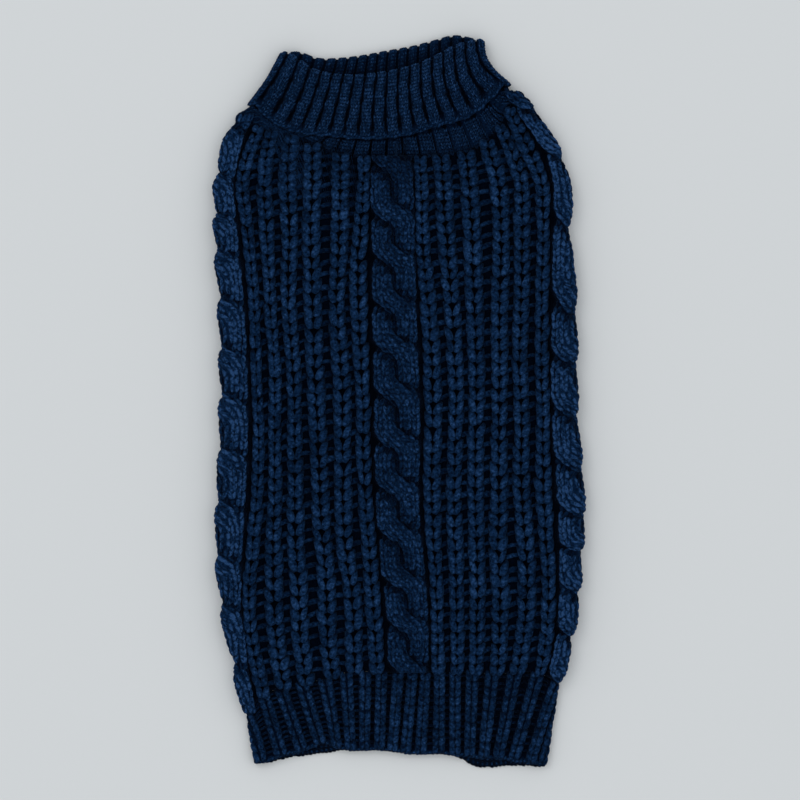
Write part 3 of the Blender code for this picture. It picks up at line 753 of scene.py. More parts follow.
def v_column_set(name, indices):
    """Plump V stitches of six columns: two slanting lengths of yarn each, that meet low in the middle."""
    t = np.linspace(0, 1, 8)
    plump = np.interp(t, (0, 0.15, 0.4, 0.7, 1), (0.60, 0.90, 1.0, 0.84, 0.45))
    gathered = []
    for index in indices:
        starts, pitch = v_rows(index, V_PITCH)
        count = len(starts)
        gathered_in = np.clip((starts - starts[-1] + NECK_GATHER) / NECK_GATHER, 0, 1)
        wander = 0.0004 * np.interp(np.linspace(0, 9, count), np.arange(10), random.normal(size=10))
        for hand in (-1, 1):
            length = V_LENGTH * (pitch / V_PITCH) * random.normal(1, 0.06, count)
            y = (starts + random.normal(0, 0.00038, count) + 0.0003)[:, None] + length[:, None] * t
            y = np.minimum(y, starts[-1] + pitch[-1] - 0.0003)
            room = np.clip(wale_room(index, starts), 0.0036, 0.0066)
            inner = (0.20 if hand < 0 else 0.15) * room + random.normal(0, 0.00020, count)
            outer = room - (0.0024 if hand < 0 else 0.0021) + random.normal(0, 0.0003, count)
            spread = inner[:, None] + (outer - inner)[:, None] * t**0.9
            x = wale_middle(index, y) + wander[:, None] + hand * spread
            rise = 0.0003 + 0.0008 * np.sin(np.pi * np.clip(t * 0.80 + 0.20, 0, 1)) - 0.0012 * t**2.5
            points, normals = on_top(x, y, rise + chance(0, 0.00015, count))
            size = plump * (random.normal(1, 0.09, count) * (1 + 0.04 * gathered_in))[:, None]
            half_width = V_HALF_WIDTH * (room / USUAL_ROOM)[:, None] ** 0.7 * size
            tone = varied(0.91, 0.14, count, 0.5, 1.3) * (1 - 0.25 * gathered_in)
            gathered.append((points, normals, half_width, V_HALF_HEIGHT * size, tone))
    return lay_yarn(name, gathered, sides=8, foot=0.62, tip=0.12)


def purl_bars(name, pairs):
    """Low bars of yarn that run across between neighbouring columns."""
    t = np.linspace(0, 1, 5)
    gathered = []
    for first, second in pairs:
        starts, pitch = v_rows(first, V_PITCH)
        y0 = starts[1:-1] + 0.45 * pitch[1:-1] + random.normal(0, 0.0004, len(starts) - 2)
        left, right = wale_middle(first, y0) + 0.0020, wale_middle(second, y0) - 0.0024
        x = left[:, None] + (right - left)[:, None] * t
        lean = chance(0.0024, 0.0012, len(y0))
        y = y0[:, None] + 0.0008 * np.sin(np.pi * t)[None, :] + lean * (t - 0.5)[None, :]
        points, normals = on_top(x, y, -0.0011 + 0.0003 * np.sin(np.pi * t)[None, :] + 0 * x)
        thick = chance(1, 0.15, len(y0)) * np.array([0.75, 1.0, 1.1, 1.0, 0.75])
        gathered.append([points, normals, 0.0013 * thick, 0.0007 * thick])
    # the lightnesses, spread by chance and dimmer than the stitches' as painted shade on bars that lie low,
    # are drawn in one go, after all the shapes
    tones = random.uniform(0.28, 0.78, sum(len(batch[0]) for batch in gathered))
    ends = np.cumsum([len(batch[0]) for batch in gathered])[:-1]
    for batch, tone in zip(gathered, np.split(tones, ends)):
        batch.append(tone)
    return lay_yarn(name, gathered, sides=6)


def rope_stitches(name, place, crossings, light, hollow):
    """The stitches of a cable: three columns of V on each of its two strands, along the strand."""
    t = np.linspace(0, 1, 6)
    low, high = seam_ends(lambda y: place(np.array(0.0), y, 0.0))
    edge, centre = (place(np.array(across), np.array((low + high) / 2), 0.0)[0] for across in (-1.0, 0.0))
    half_width = np.linalg.norm(edge - centre)
    plump = swell(t, 0.13, 0.76, 0.55)
    gathered = []
    for strand in (0, 1):
        fine_y = np.linspace(low, high, 3000)
        centre, _, _ = strand_place(cable_turns(fine_y, crossings) + strand)
        step = np.hypot(np.diff(fine_y), np.diff(centre) * half_width)
        run = np.concatenate([[0], np.cumsum(step)])
        count = int(run[-1] / ROPE_PITCH)
        start_run = run[-1] * np.arange(count) / count

        def on_strand(q, y):
            turns = cable_turns(y, crossings) + strand
            centre, _, slope = strand_place(turns)
            across = centre + q * np.minimum(strand_width(slope, q), 1.0 - np.sign(q) * centre)
            own = strand_height(across, y, crossings, strand)
            over, over_lift, over_slope = strand_place(turns + 1)
            from_over = np.abs(across - over) / strand_width(over_slope, across - over)
            # painted shadow of the strand that crosses over, and painted shade between the two strands
            shadow = 1 - 0.88 * np.clip(2 * over_lift, 0, 1) * np.clip((1.60 - from_over) / 0.55, 0, 1)
            hollow_shade = 1 - hollow * np.clip(-q * centre / STRAND_PLACE, 0, 1)
            other = strand_height(across, y, crossings, 1 - strand)
            return place(across, y, own - 0.0006), own, other, shadow * hollow_shade

        for column in range(ROPE_WALES):
            q_middle = (2 * column + 1 - ROPE_WALES) / ROPE_WALES * 0.93
            for hand in (-1, 1):
                here = start_run + random.normal(0, 0.00015, count)
                y = np.interp(here[:, None] + ROPE_LENGTH * t, run, fine_y)
                q = q_middle + hand * (0.09 + 0.13 * t)[None, :] + chance(0, 0.025, count)
                q = np.clip(q, -STRAND_REACH, STRAND_REACH)
                (points, normals), own, other, dim = on_strand(q, y)
                dq = on_strand(q + 0.01, y)[0][0] - on_strand(q - 0.01, y)[0][0]
                dy = on_strand(q, y + 0.0002)[0][0] - on_strand(q, y - 0.0002)[0][0]
                up = np.cross(dq, dy)
                up /= np.linalg.norm(up, axis=-1, keepdims=True) + 1e-12
                up *= np.where((up * normals).sum(-1, keepdims=True) < 0, -1.0, 1.0)
                bow = 0.0003 * np.sin(np.pi * np.clip(0.2 + 0.8 * t, 0, 1)) - 0.0006 * t**3
                points = points + up * bow[None, :, None]
                seen = (own[:, 3] > other[:, 3] - 0.0004) & (own[:, 3] > 0.0004)
                # painted shade where the two strands meet at the same height; the stitches also get darker
                # towards both seams
                crease_shade = np.clip((own[:, 3] - other[:, 3] + 0.0003) / 0.0012, 0.15, 1)
                size = plump * chance(1, 0.07, count)
                tone = light * varied(1.0, 0.13, count, 0.5, 1.3) * crease_shade * dim[:, 3]
                tone *= np.interp(y[:, 3], (low, low + 0.006, high - 0.020, high), (0.65, 1.0, 1.0, 0.45))
                made = (points, up, ROPE_HALF_WIDTH * size, ROPE_HALF_HEIGHT * size, tone)
                gathered.append([part[seen] for part in made])
    return lay_yarn(name, gathered, sides=7, foot=0.62, tip=0.25, mottle=0.56)


back_yarn = [
    v_column_set("left_wales", range(0, 6)),
    v_column_set("right_wales", range(6, 12)),
    purl_bars("purl_bars", [(i, i + 1) for i in range(11) if i != 5]),
    # the side cables are painted lighter than the middle one, as a painted rim of light where they round
    # the folds, with less painted shade between their strands
    rope_stitches("middle_cable", middle_cable, MIDDLE_CROSSINGS, light=0.84, hollow=0.95),
    rope_stitches("left_cable", side_cable(-1), LEFT_CROSSINGS, light=1.50, hollow=0.30),
    rope_stitches("right_cable", side_cable(1), RIGHT_CROSSINGS, light=1.50, hollow=0.30),
]


def dress(pieces, paint):
    """Paints pieces and lays them in the coat's one body."""
    for piece in pieces:
        piece.data.materials.append(paint)
        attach(piece, "root")


dress([back_panel_cloth] + back_yarn, body_yarn)
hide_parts("back_panel")


# ---------------------------------------------------------------- belly panel
# The plain knitted panel under the coat, linked to the back panel's edges on both sides. Two leg
# openings are knitted into it and finished with a chain of cast-off stitches.
LEG_PLACE = (0.0430, 0.0880)
LEG_HALF_SIZE = (0.0170, 0.0260)
BELLY_LINES = 48
BELLY_ROWS = 84
BELLY_FLOOR = 0.0006  # room for the stitches below the shell
BELLY_PITCH = (0.0078, 0.0066)
BELLY_V = (0.0021, 0.0068)  # how far one half of a V stitch runs across and along
BELLY_COLUMNS = 10  # on each side of the middle one
BELLY_STITCH_ROWS = 24
LEG_LINKS = 44
DOWNWARDS = np.array([0.0, 0.0, -1.0])


def belly_edge(side, y):
    return back_cloth(side, np.pi * fold_radius(y) + FLANGE, y, 0.0)[0][..., 0] - side * SEAM_GAP


def belly_grid():
    """Places on the panel, in lines between its side edges and rows between its seams."""
    shares = np.linspace(0, 1, BELLY_LINES)
    rows = np.linspace(0, 1, BELLY_ROWS)
    share, row = np.meshgrid(shares, rows, indexing="ij")
    y = -0.15 + row * 0.30
    for _ in range(4):
        left, right = belly_edge(-1, y), belly_edge(1, y)
        x = left + share * (right - left)
        low, high = hem_end(x), neck_end(x, -1.0)
        y = low + row * (high - low)
    return x, y


belly_x, belly_y = belly_grid()
inside_leg = np.zeros_like(belly_x, bool)
for side in (-1, 1):
    # Points near an opening are moved onto its rim; those well inside it are left out.
    across = (belly_x - side * LEG_PLACE[0]) / LEG_HALF_SIZE[0]
    down = (belly_y - LEG_PLACE[1]) / LEG_HALF_SIZE[1]
    reach = np.hypot(across, down)
    inside_leg |= reach < 0.93
    near = (reach >= 0.93) & (reach < 1.05)
    belly_x = np.where(near, side * LEG_PLACE[0] + across / reach * LEG_HALF_SIZE[0], belly_x)
    belly_y = np.where(near, LEG_PLACE[1] + down / reach * LEG_HALF_SIZE[1], belly_y)


def belly_shell():
    """The panel as a closed slab whose lines bend round its two openings."""
    number = np.arange(BELLY_LINES * BELLY_ROWS).reshape(BELLY_LINES, BELLY_ROWS)
    cells = grid_quads(BELLY_LINES, BELLY_ROWS)
    cells = cells[~inside_leg.ravel()[cells].any(axis=1)]
    low = np.stack([belly_x, belly_y, np.full_like(belly_x, BELLY_FLOOR)], axis=-1).reshape(-1, 3)
    high = low.copy()
    high[:, 2] = PANEL_WALL
    total = number.size
    edges = np.concatenate([cells[:, [k, (k + 1) % 4]] for k in range(4)])
    forward = set(map(tuple, edges))
    rim = np.array([edge for edge in forward if (edge[1], edge[0]) not in forward])
    walls = np.stack([rim[:, 0], rim[:, 0] + total, rim[:, 1] + total, rim[:, 1]], axis=-1)
    quads = np.concatenate([cells, cells[:, ::-1] + total, walls])
    used = np.unique(quads)
    renumber = np.zeros(2 * total, int)
    renumber[used] = np.arange(len(used))
    points = np.concatenate([low, high])[used]
    # a flat painted shade over the whole cloth under the coat
    return make_mesh("belly_panel_cloth", points, renumber[quads], (), np.full(len(used), 0.10))


belly_panel_cloth = belly_shell()


def belly_stitches(name):
    """Flattened V stitches on the underside, as they press on the surface the coat lies on."""
    t = np.linspace(0, 1, 3)
    column, row = np.meshgrid(
        np.arange(-BELLY_COLUMNS, BELLY_COLUMNS + 1),
        np.arange(-BELLY_STITCH_ROWS, BELLY_STITCH_ROWS + 1),
        indexing="ij",
    )
    x0, y0 = column.ravel() * BELLY_PITCH[0], row.ravel() * BELLY_PITCH[1]
    clear = np.ones(len(x0), bool)
    for side in (-1, 1):
        clear &= np.hypot((x0 - side * LEG_PLACE[0]) / 0.0220, (y0 + 0.003 - LEG_PLACE[1]) / 0.0310) > 1
    y_mid = y0 + BELLY_PITCH[1] / 2
    clear &= (x0 > belly_edge(-1, y_mid) + 0.0040) & (x0 < belly_edge(1, y_mid) - 0.0040)
    clear &= (y0 > height_at(HEM_SEAM, x0) + 0.0020) & (y0 + 0.0075 < neck_y(x0, -1.0))
    x0, y0 = x0[clear, None], y0[clear, None]
    gathered = []
    for hand in (-1, 1):
        x = x0 + hand * (0.0008 + BELLY_V[0] * t)
        y = y0 + BELLY_V[1] * t
        path = np.stack([x, y, 0.0007 - 0.0002 * np.sin(np.pi * t) + 0 * x], axis=-1)
        plump = swell(t, 0.10, 0.80, 0.5) + 0 * x
        up = np.broadcast_to(DOWNWARDS, path.shape)
        gathered.append((path, up, 0.0017 * plump, 0.0005 * plump, varied(0.9, 0.1, len(x), 0.6, 1.1)))
    return lay_yarn(name, gathered, sides=5)


def leg_chain(name):
    """The chain of stitches round both leg openings."""
    t = np.linspace(0, 1, 5)
    link = 2 * np.pi / LEG_LINKS
    angle = link * (np.arange(LEG_LINKS)[:, None] + 1.5 * t)
    out = 1.03 + 0.05 * (t - 0.5)
    plump = 0.0010 * swell(t, 0.10, 0.80, 0.5) + 0 * angle
    gathered = []
    for side in (-1, 1):
        x = side * LEG_PLACE[0] + LEG_HALF_SIZE[0] * out * np.cos(angle)
        y = LEG_PLACE[1] + LEG_HALF_SIZE[1] * out * np.sin(angle)
        path = np.stack([x, y, np.full_like(x, 0.0011)], axis=-1)
        up = np.broadcast_to(DOWNWARDS, path.shape)
        gathered.append((path, up, plump, plump, np.full(LEG_LINKS, 0.9)))
    return lay_yarn(name, gathered, sides=6)


belly_yarn = [belly_stitches("belly_stitches"), leg_chain("leg_opening_chain")]
dress([belly_panel_cloth] + belly_yarn, body_yarn)
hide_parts("belly_panel")


# ---------------------------------------------------------------- collar
# A turtleneck in fine wide ribs, knitted on from the neck seam, folded at the top and turned down
# outside to its cast-off edge. The far layer stands up past the near one, which shows its inside.
COLLAR_WALL = 0.0017
RIB_HEIGHT = 0.0010
COLLAR_RIBS = 17
FOLD_RIBS = 2
COLLAR_LENS_POWER = 0.7
COLLAR_EDGE_LENS = 1.3
COLLAR_BOW = (0.0015, 0.0048)
COLLAR_SEAM_OUTER = 0.0025
STAND_INNER = SEAM_GAP
STAND_OUTER = STAND_INNER + COLLAR_WALL
TURN_INNER = STAND_OUTER + SEAM_GAP
TURN_OUTER = TURN_INNER + COLLAR_WALL
COLLAR_FOLD = (
    (-0.0655, 0.1920), (-0.0595, 0.1890), (-0.0525, 0.1840), (-0.0370, 0.1800),
    (-0.0270, 0.1795), (-0.0070, 0.1815), (0.0135, 0.1865), (0.0240, 0.1910),
    (0.0340, 0.1960), (0.0465, 0.1990),
)
COLLAR_EDGE = (
    (-0.0835, 0.1635), (-0.0780, 0.1575), (-0.0680, 0.1510), (-0.0575, 0.1480),
    (-0.0370, 0.1460), (-0.0270, 0.1450), (0.0035, 0.1465), (0.0240, 0.1520),
    (0.0440, 0.1585), (0.0540, 0.1665), (0.0615, 0.1745),
)
FOLD_TURN = 0.10  # a side fold's way round, as a share of the collar's width
STAND_SLANT = 0.09  # how far the stand's ribs spread towards its seam
RIB_SINK = 0.0008  # depth of the ground between ribs below the outer form
COLLAR_BEND = (TURN_OUTER - STAND_INNER) / 2  # radius of the fold at its top
COLLAR_PITCH = 0.0019
STITCH_REACH = 1.35  # length of a rib's stitch, in pitches
RIB_COLUMN = 0.11  # half the width of a fine column of stitches, as a share of a rib
RIB_YARN = (0.00050, 0.00045)  # half its width and half its height
CAST_OFF_LINKS = 150


def round_band(g, fold_turn):
    """A place round a flattened band: over the top from 0 to 1, a fold, back below, and a fold."""
    g = np.mod(g, 2 + 2 * fold_turn)
    share = np.where(g < 2 + fold_turn, 2 + fold_turn - g, 0.0)
    share = np.where(g < 1, g, np.where(g < 1 + fold_turn, 1.0, share))
    turn = np.where(g < 1, 0.0, np.clip((g - 1) / fold_turn, 0, 1) * np.pi)
    turn = np.where(g > 2 + fold_turn, np.pi + np.clip((g - 2 - fold_turn) / fold_turn, 0, 1) * np.pi, turn)
    return share, np.sin(turn), np.cos(turn)


def spine(line, share, inset):
    """A point on a line squeezed by an inset at both ends, which leaves room for the folds."""
    left, right = line[0][0], line[-1][0]
    return left + inset + share * (right - left - 2 * inset), height_at(line, left + share * (right - left))


def collar_lines(g):
    """A place round the collar, its facing, and where it meets the fold and the cast-off edge."""
    share, nx, nz = round_band(g, FOLD_TURN)
    lens = (1 - nz) / 2 * LENS * np.sin(np.pi * np.clip(share, 0, 1)) ** COLLAR_LENS_POWER
    fold_x, fold_y = spine(COLLAR_FOLD, share, TURN_OUTER)
    edge_x, edge_y = spine(COLLAR_EDGE, share, TURN_OUTER)
    slant = (fold_x - edge_x) / (fold_y - edge_y)
    fold = np.array([fold_x + slant * lens, fold_y + lens])
    edge = np.array([edge_x + slant * COLLAR_EDGE_LENS * lens, edge_y + COLLAR_EDGE_LENS * lens])
    return share, nx, nz, fold, edge


def collar_straight(g):
    """How far the turned-down cloth runs from its edge to the start of the fold."""
    *_, fold, edge = collar_lines(g)
    return np.hypot(*(fold - edge)) - COLLAR_BEND


def collar_form(g, s):
    """The collar's turned-down cloth: s runs up from the cast-off edge, over the fold and down inside."""
    share, nx, nz, fold, edge = collar_lines(g)
    length = np.hypot(*(fold - edge))
    straight = length - COLLAR_BEND
    over = np.clip((s - straight) / COLLAR_BEND, 0, np.pi)
    back = np.maximum(s - straight - np.pi * COLLAR_BEND, 0)
    along = (np.minimum(s, straight) + np.sin(over) * COLLAR_BEND - back) / length
    rise = (TURN_OUTER + STAND_INNER) / 2 + np.cos(over) * COLLAR_BEND
    bow = COLLAR_BOW[0] * (1 - share) ** 2 - COLLAR_BOW[1] * share**2
    x, y = edge + (fold - edge) * along
    x = x + nx * rise + bow * np.sin(np.pi * np.clip(along, 0, 1))
    return np.stack([x, y, TURN_OUTER + nz * rise], axis=-1)


def stand_form(g, part, rise=None):
    """The collar's stand, from the neck seam towards the cast-off edge that lies over it."""
    share, nx, nz, _, edge = collar_lines(g)
    if rise is None:
        heights = (COLLAR_SEAM_OUTER, STAND_OUTER + 0.0002, STAND_OUTER - 0.0004)
        rise = np.interp(part, (0.0, 0.45, 0.96), heights)
    seam_x, _ = spine(NECK_SEAM, share, COLLAR_SEAM_OUTER + 0.0012)
    x = seam_x + nx * rise
    y = neck_y(x, nz) + half_gap(NECK_SEAM, x)
    x = x + part * (edge[0] + nx * rise - x)
    y = y + part * (edge[1] - y)
    middle = COLLAR_SEAM_OUTER + np.minimum(part / 0.8, 1) * (TURN_OUTER - COLLAR_SEAM_OUTER)
    return np.stack([x, y, middle + nz * rise], axis=-1)


def outward(form, g, s, step_s=0.0002):
    """The unit normal out of a band's knitted face."""
    step_g = 0.002
    round_it = form(g + step_g, s) - form(g - step_g, s)
    normal = np.cross(round_it, form(g, s + step_s) - form(g, s - step_s))
    return normal / (np.linalg.norm(normal, axis=-1, keepdims=True) + 1e-15)


def rib_phase(g, ribs, fold_turn):
    """How far round its rib a place lies, from 0 to 1 with the crown at 0.5, all round a band."""
    g = np.mod(g, 2 + 2 * fold_turn)
    on_fold = np.where(g < 1 + fold_turn, g - 1, g - 2 - fold_turn) / fold_turn * FOLD_RIBS
    below = np.where(g < 2 + fold_turn, (g - 1 - fold_turn) * ribs, on_fold)
    count = np.where(g < 1, g * ribs, np.where(g < 1 + fold_turn, on_fold, below))
    return count - np.floor(count)


def rib_wander(g, s, ribs):
    """How far a rib strays sideways along its length, as a share of a rib."""
    rib = np.floor(np.mod(g, 1) * ribs)
    return 0.035 * np.sin(s / 0.0021 + 2.3 * rib) + 0.035 * np.sin(s / 0.0010 + 1.7 * rib)


def rib_relief(phase, crown=0.30, foot=0.43):
    """A rib's height, from 1 on its crown to 0 on the ground beside its foot."""
    ease = np.clip((foot - np.abs(phase - 0.5)) / (foot - crown), 0, 1)
    return ease * ease * (3 - 2 * ease)


def around_steps(ribs, fold_turn, steps, fold_steps):
    """Places round a band, finely spaced enough for its ribs."""
    top = np.arange(ribs * steps) / (ribs * steps)
    fold = np.arange(fold_steps) / fold_steps * fold_turn
    return np.concatenate([top, 1 + fold, 1 + fold_turn + top, 2 + fold_turn + fold])


def band_mesh(name, rings, shades):
    """A closed band from rings that run round it, joined from the last back to the first."""
    rings, shades = np.array(rings), np.array(shades)
    rings = np.concatenate([rings, rings[:1]])
    count, around = rings.shape[:2]
    quads = grid_quads(count, around, wrap=True) % ((count - 1) * around)
    return make_mesh(name, rings[:-1], quads, (), shades)


def collar_shell():
    g = around_steps(COLLAR_RIBS, FOLD_TURN, 10, 16)
    phase = rib_phase(g, COLLAR_RIBS, FOLD_TURN)
    relief = rib_relief(phase)
    rings, shades = [], []

    def add(points, normals, lift, shade):
        rings.append(points + normals * np.asarray(lift)[..., None])
        shades.append(shade + 0 * g)

    def add_turned(s, lift, shade):
        add(collar_form(g, s), outward(collar_form, g, s), lift, shade)

    straight = collar_straight(g)
    # outside of the stand, up to where the turned-down cloth covers it
    for part in (0.0, 0.12, 0.24, 0.36, 0.48, 0.60, 0.78, 0.96):
        points = stand_form(g, part)
        normal = outward(stand_form, g, np.full_like(g, part), step_s=0.01)
        fade = 1.0 if part < 0.7 else 0.0
        spread = (g - 0.45 * STAND_SLANT * (part - 0.8)) / (1 - STAND_SLANT * (part - 0.8))
        closing = np.interp(part, (0.0, 0.12, 0.5), (0.07, 0.02, -0.02))
        phase_here = rib_phase(np.where(g < 1, spread, g), COLLAR_RIBS, FOLD_TURN)
        ribbed = rib_relief(phase_here, 0.30 + closing, 0.42 + closing)
        # painted shade: near black in the grooves, and darker still where the stand meets the neck seam
        seam_line_shade = np.interp(part, (0.0, 0.12), (0.3, 1.0))
        lift = fade * (ribbed * RIB_HEIGHT * 0.7 - (1 - ribbed) * RIB_SINK * 1.3 - 0.0005)
        add(points, normal, lift, 0.01 + 0.25 * ribbed * seam_line_shade)
    # behind the turned-down cloth: up the stand and down again, in flat painted shade
    for share_up, rise in (
        (0.12, STAND_OUTER), (0.35, STAND_OUTER), (0.65, STAND_OUTER), (1.0, STAND_OUTER),
        (1.0, TURN_INNER), (0.65, TURN_INNER), (0.35, TURN_INNER), (0.0, TURN_INNER),
    ):
        add_turned(share_up * straight, rise - TURN_OUTER, 0.15)
    # the turned-down cloth, plain at its cast-off edge and ribbed above it, with near-black painted shade
    # in its grooves
    for share_up in np.concatenate([(0.0, 0.03, 0.06, 0.09, 0.12), np.linspace(0.16, 0.97, 20)]):
        s = share_up * straight
        strayed = np.where(g < 1, rib_wander(g, s, COLLAR_RIBS) / COLLAR_RIBS, 0)
        grown = np.interp(share_up, (0.0, 0.08, 0.16), (0.0, 0.45, 1.0))
        tight = np.interp(share_up, (0.1, 0.9), (0.0, 0.05))
        ribbed = rib_relief(rib_phase(g - strayed, COLLAR_RIBS, FOLD_TURN), 0.28 + tight, 0.40 + tight)
        closed = 1 - grown + grown * ribbed
        lift = closed * RIB_HEIGHT * 0.6 - grown * (1 - closed) * RIB_SINK * 1.3 - 0.0004 * (share_up == 0)
        add_turned(s, lift, 0.01 + 0.30 * closed)
    # over the fold, and down the inside of the stand, with painted shade in the grooves that grows darker
    # on the way down inside
    for turn in np.linspace(0.15, 3.0, 11):
        lift = relief * RIB_HEIGHT * 0.5 - (1 - relief) * RIB_SINK * 0.6
        add_turned(straight + turn * COLLAR_BEND, lift, 0.03 + 0.30 * relief)
    far = round_band(g, FOLD_TURN)[2] < -0.5
    for down in (0.06, 0.15, 0.27, 0.40, 0.53, 0.68, 0.84, 1.0):
        s = straight + np.pi * COLLAR_BEND + down * straight
        lift = (relief * 0.0004 - (1 - relief) * 0.0003) * (down < 0.6)
        add_turned(s, lift * far, (0.02 + 0.20 * relief) * (1 - min(down * 1.6, 0.9)))
    points = stand_form(g, 0.0, rise=COLLAR_SEAM_OUTER - COLLAR_WALL)
    add(points, 0 * points, 0.0, 0.05)
    return band_mesh("collar_cloth", rings[::-1], shades[::-1])


collar_cloth = collar_shell()
rib_yarn = knit_material("rib_yarn", grain=800.0)


def rib_columns(first, last, ribs, offsets):
    """The fine columns on each rib between two places round the collar, and how far off its crown."""
    places = [(rib + 0.5 + offset, abs(offset)) for rib in range(ribs) for offset in offsets]
    across, off = np.array(places).T
    return first + across / ribs * (last - first), off


def turned_down_yarn(name):
    """Stitches of the turned-down ribs: outside over the fold, and the far layer's inside."""
    t = np.linspace(0, 1, 4)
    runs = (
        (0.0, 1.0, COLLAR_RIBS, "near"),
        (1.0, 1.0 + FOLD_TURN, FOLD_RIBS, "near"),
        (2 + FOLD_TURN, 2 + 2 * FOLD_TURN, FOLD_RIBS, "near"),
        (1.0 + FOLD_TURN, 2.0 + FOLD_TURN, COLLAR_RIBS, "far"),
    )
    gathered = []
    for first, last, ribs, layer in runs:
        columns = []
        for g, off in zip(*rib_columns(first, last, ribs, (-0.23, 0.0, 0.23))):
            straight = collar_straight(g)
            if layer == "near":
                rows = np.arange(0.0012, straight + 1.9 * COLLAR_BEND, COLLAR_PITCH)
                # painted highlight along the top of the fold
                painted_light_and_shade = np.interp(rows, (straight - 0.001, straight + 0.0008), (1.0, 1.6))
            else:
                low = straight + 1.0 * COLLAR_BEND
                rows = np.arange(low, straight + np.pi * COLLAR_BEND + 0.0150, COLLAR_PITCH)
                opening = LENS * np.sin(np.pi * round_band(g, FOLD_TURN)[0]) ** COLLAR_LENS_POWER + 0.002
                # painted shade that grows darker down inside the collar's opening
                painted_light_and_shade = np.interp((rows - low) / opening, (0.0, 0.15, 0.55, 0.95), (1.1, 0.85, 0.55, 0.10))
            strayed = rib_wander(g, rows, COLLAR_RIBS) / COLLAR_RIBS if g < 1 else 0 * rows
            lift = 0.00045 - 0.0002 * (off > 0.1) - (0.0004 if layer == "far" else 0) + 0 * rows
            # the columns off a rib's crown get painted shade
            columns.append((g + strayed, rows, lift, painted_light_and_shade * (1.20 - 0.30 * (off > 0.1))))
        places, starts, lifts, tones = map(np.concatenate, zip(*columns))
        count = len(places)
        half_width = RIB_COLUMN / ribs * (last - first)
        for hand in (-1, 1):
            g = places[:, None] + hand * half_width * (0.2 + 0.8 * t)
            stray = chance(0, 0.08 * RIB_YARN[0], count)
            s = starts[:, None] + STITCH_REACH * COLLAR_PITCH * t + stray
            normal = outward(collar_form, g, s)
            rise = lifts[:, None] + 0.0002 * np.sin(np.pi * t) + chance(0, 0.00005, count)
            plump = swell(t, 0.10, 0.80, 0.6) * chance(1, 0.07, count)
            points = collar_form(g, s) + normal * rise[..., None]
            tone = tones * varied(1.02, 0.34, count, 0.3, 1.9)
            gathered.append((points, normal, RIB_YARN[0] * plump, RIB_YARN[1] * plump, tone))
    return lay_yarn(name, gathered, sides=5)


def stand_yarn(name):
    """Stitches of the stand, which shows below the cast-off edge: four fine columns on each rib."""
    t = np.linspace(0, 1, 4)
    columns = []
    for g, off in zip(*rib_columns(-0.02, 1.02, COLLAR_RIBS, (-0.30, -0.10, 0.10, 0.30))):
        scale = 0.8 / np.linalg.norm(stand_form(g, 0.8) - stand_form(g, 0.0))
        rows = np.arange(-SEAM_LAP, 0.8 / scale, COLLAR_PITCH) * scale
        span = STITCH_REACH * COLLAR_PITCH * scale
        columns.append((g + 0 * rows, rows, span + 0 * rows, 0.0001 - 0.0002 * (off > 0.15) + 0 * rows))
    places, part, span, lifts = (np.concatenate(column)[:, None] for column in zip(*columns))

    def form(g, s):
        return stand_form(g, np.clip(s, -0.4, 0.95))

    gathered = []
    for hand in (-1, 1):
        s = part + span * t
        g = places + hand * RIB_COLUMN / COLLAR_RIBS * (0.2 + 0.8 * t)
        g = g + STAND_SLANT * (places - 0.45) * (0.8 - s)
        normal = outward(form, g, s, step_s=0.01)
        points = form(g, s) + normal * (lifts + 0.0002 * np.sin(np.pi * t))[..., None]
        plump = swell(t, 0.10, 0.80, 0.6) * chance(1, 0.07, len(places))
        # painted shade, darker where the stand meets the neck seam
        seam_line_dimming = np.interp(part[:, 0], (0.0, 0.12), (0.45, 1.0))
        tone = 0.80 * varied(1.0, 0.26, len(places), 0.4, 1.6) * seam_line_dimming
        gathered.append((points, normal, RIB_YARN[0] * plump, RIB_YARN[1] * plump, tone))
    return lay_yarn(name, gathered, sides=5)


def edge_chain(name, form, fold_turn, s, length, size, lift, wave):
    """The chain of stitches along a cast-off edge, each slanting a little across it."""
    t = np.linspace(0, 1, 5)
    places = np.linspace(0, 2 + 2 * fold_turn, CAST_OFF_LINKS, endpoint=False)
    g = places[:, None] + STITCH_REACH * (places[1] - places[0]) * t
    stray = chance(0, 0.12 * length, CAST_OFF_LINKS)
    s = s + length * (t - 0.5) + wave(g) + stray
    normal = outward(form, g, s)
    points = form(g, s) + normal * (lift + 0.0002 * np.sin(np.pi * t))[None, :, None]
    half_width = size * swell(t, 0.08, 0.84, 0.5) * chance(1, 0.06, CAST_OFF_LINKS)
    tone = 0.85 * varied(1.0, 0.12, CAST_OFF_LINKS, 0.6, 1.3)
    return lay_yarn(name, [(points, normal, half_width, 0.8 * half_width, tone)], sides=6)


collar_yarn = [
    turned_down_yarn("turned_down_stitches"),
    stand_yarn("stand_stitches"),
    edge_chain(
        "collar_cast_off",
        collar_form,
        FOLD_TURN,
        s=0.0008,
        length=0.0016,
        size=0.00080,
        lift=-0.0001,
        wave=lambda g: 0.0005 * np.cos(2 * np.pi * rib_phase(g, COLLAR_RIBS, FOLD_TURN)),
    ),
]
dress([collar_cloth] + collar_yarn, rib_yarn)
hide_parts("collar")


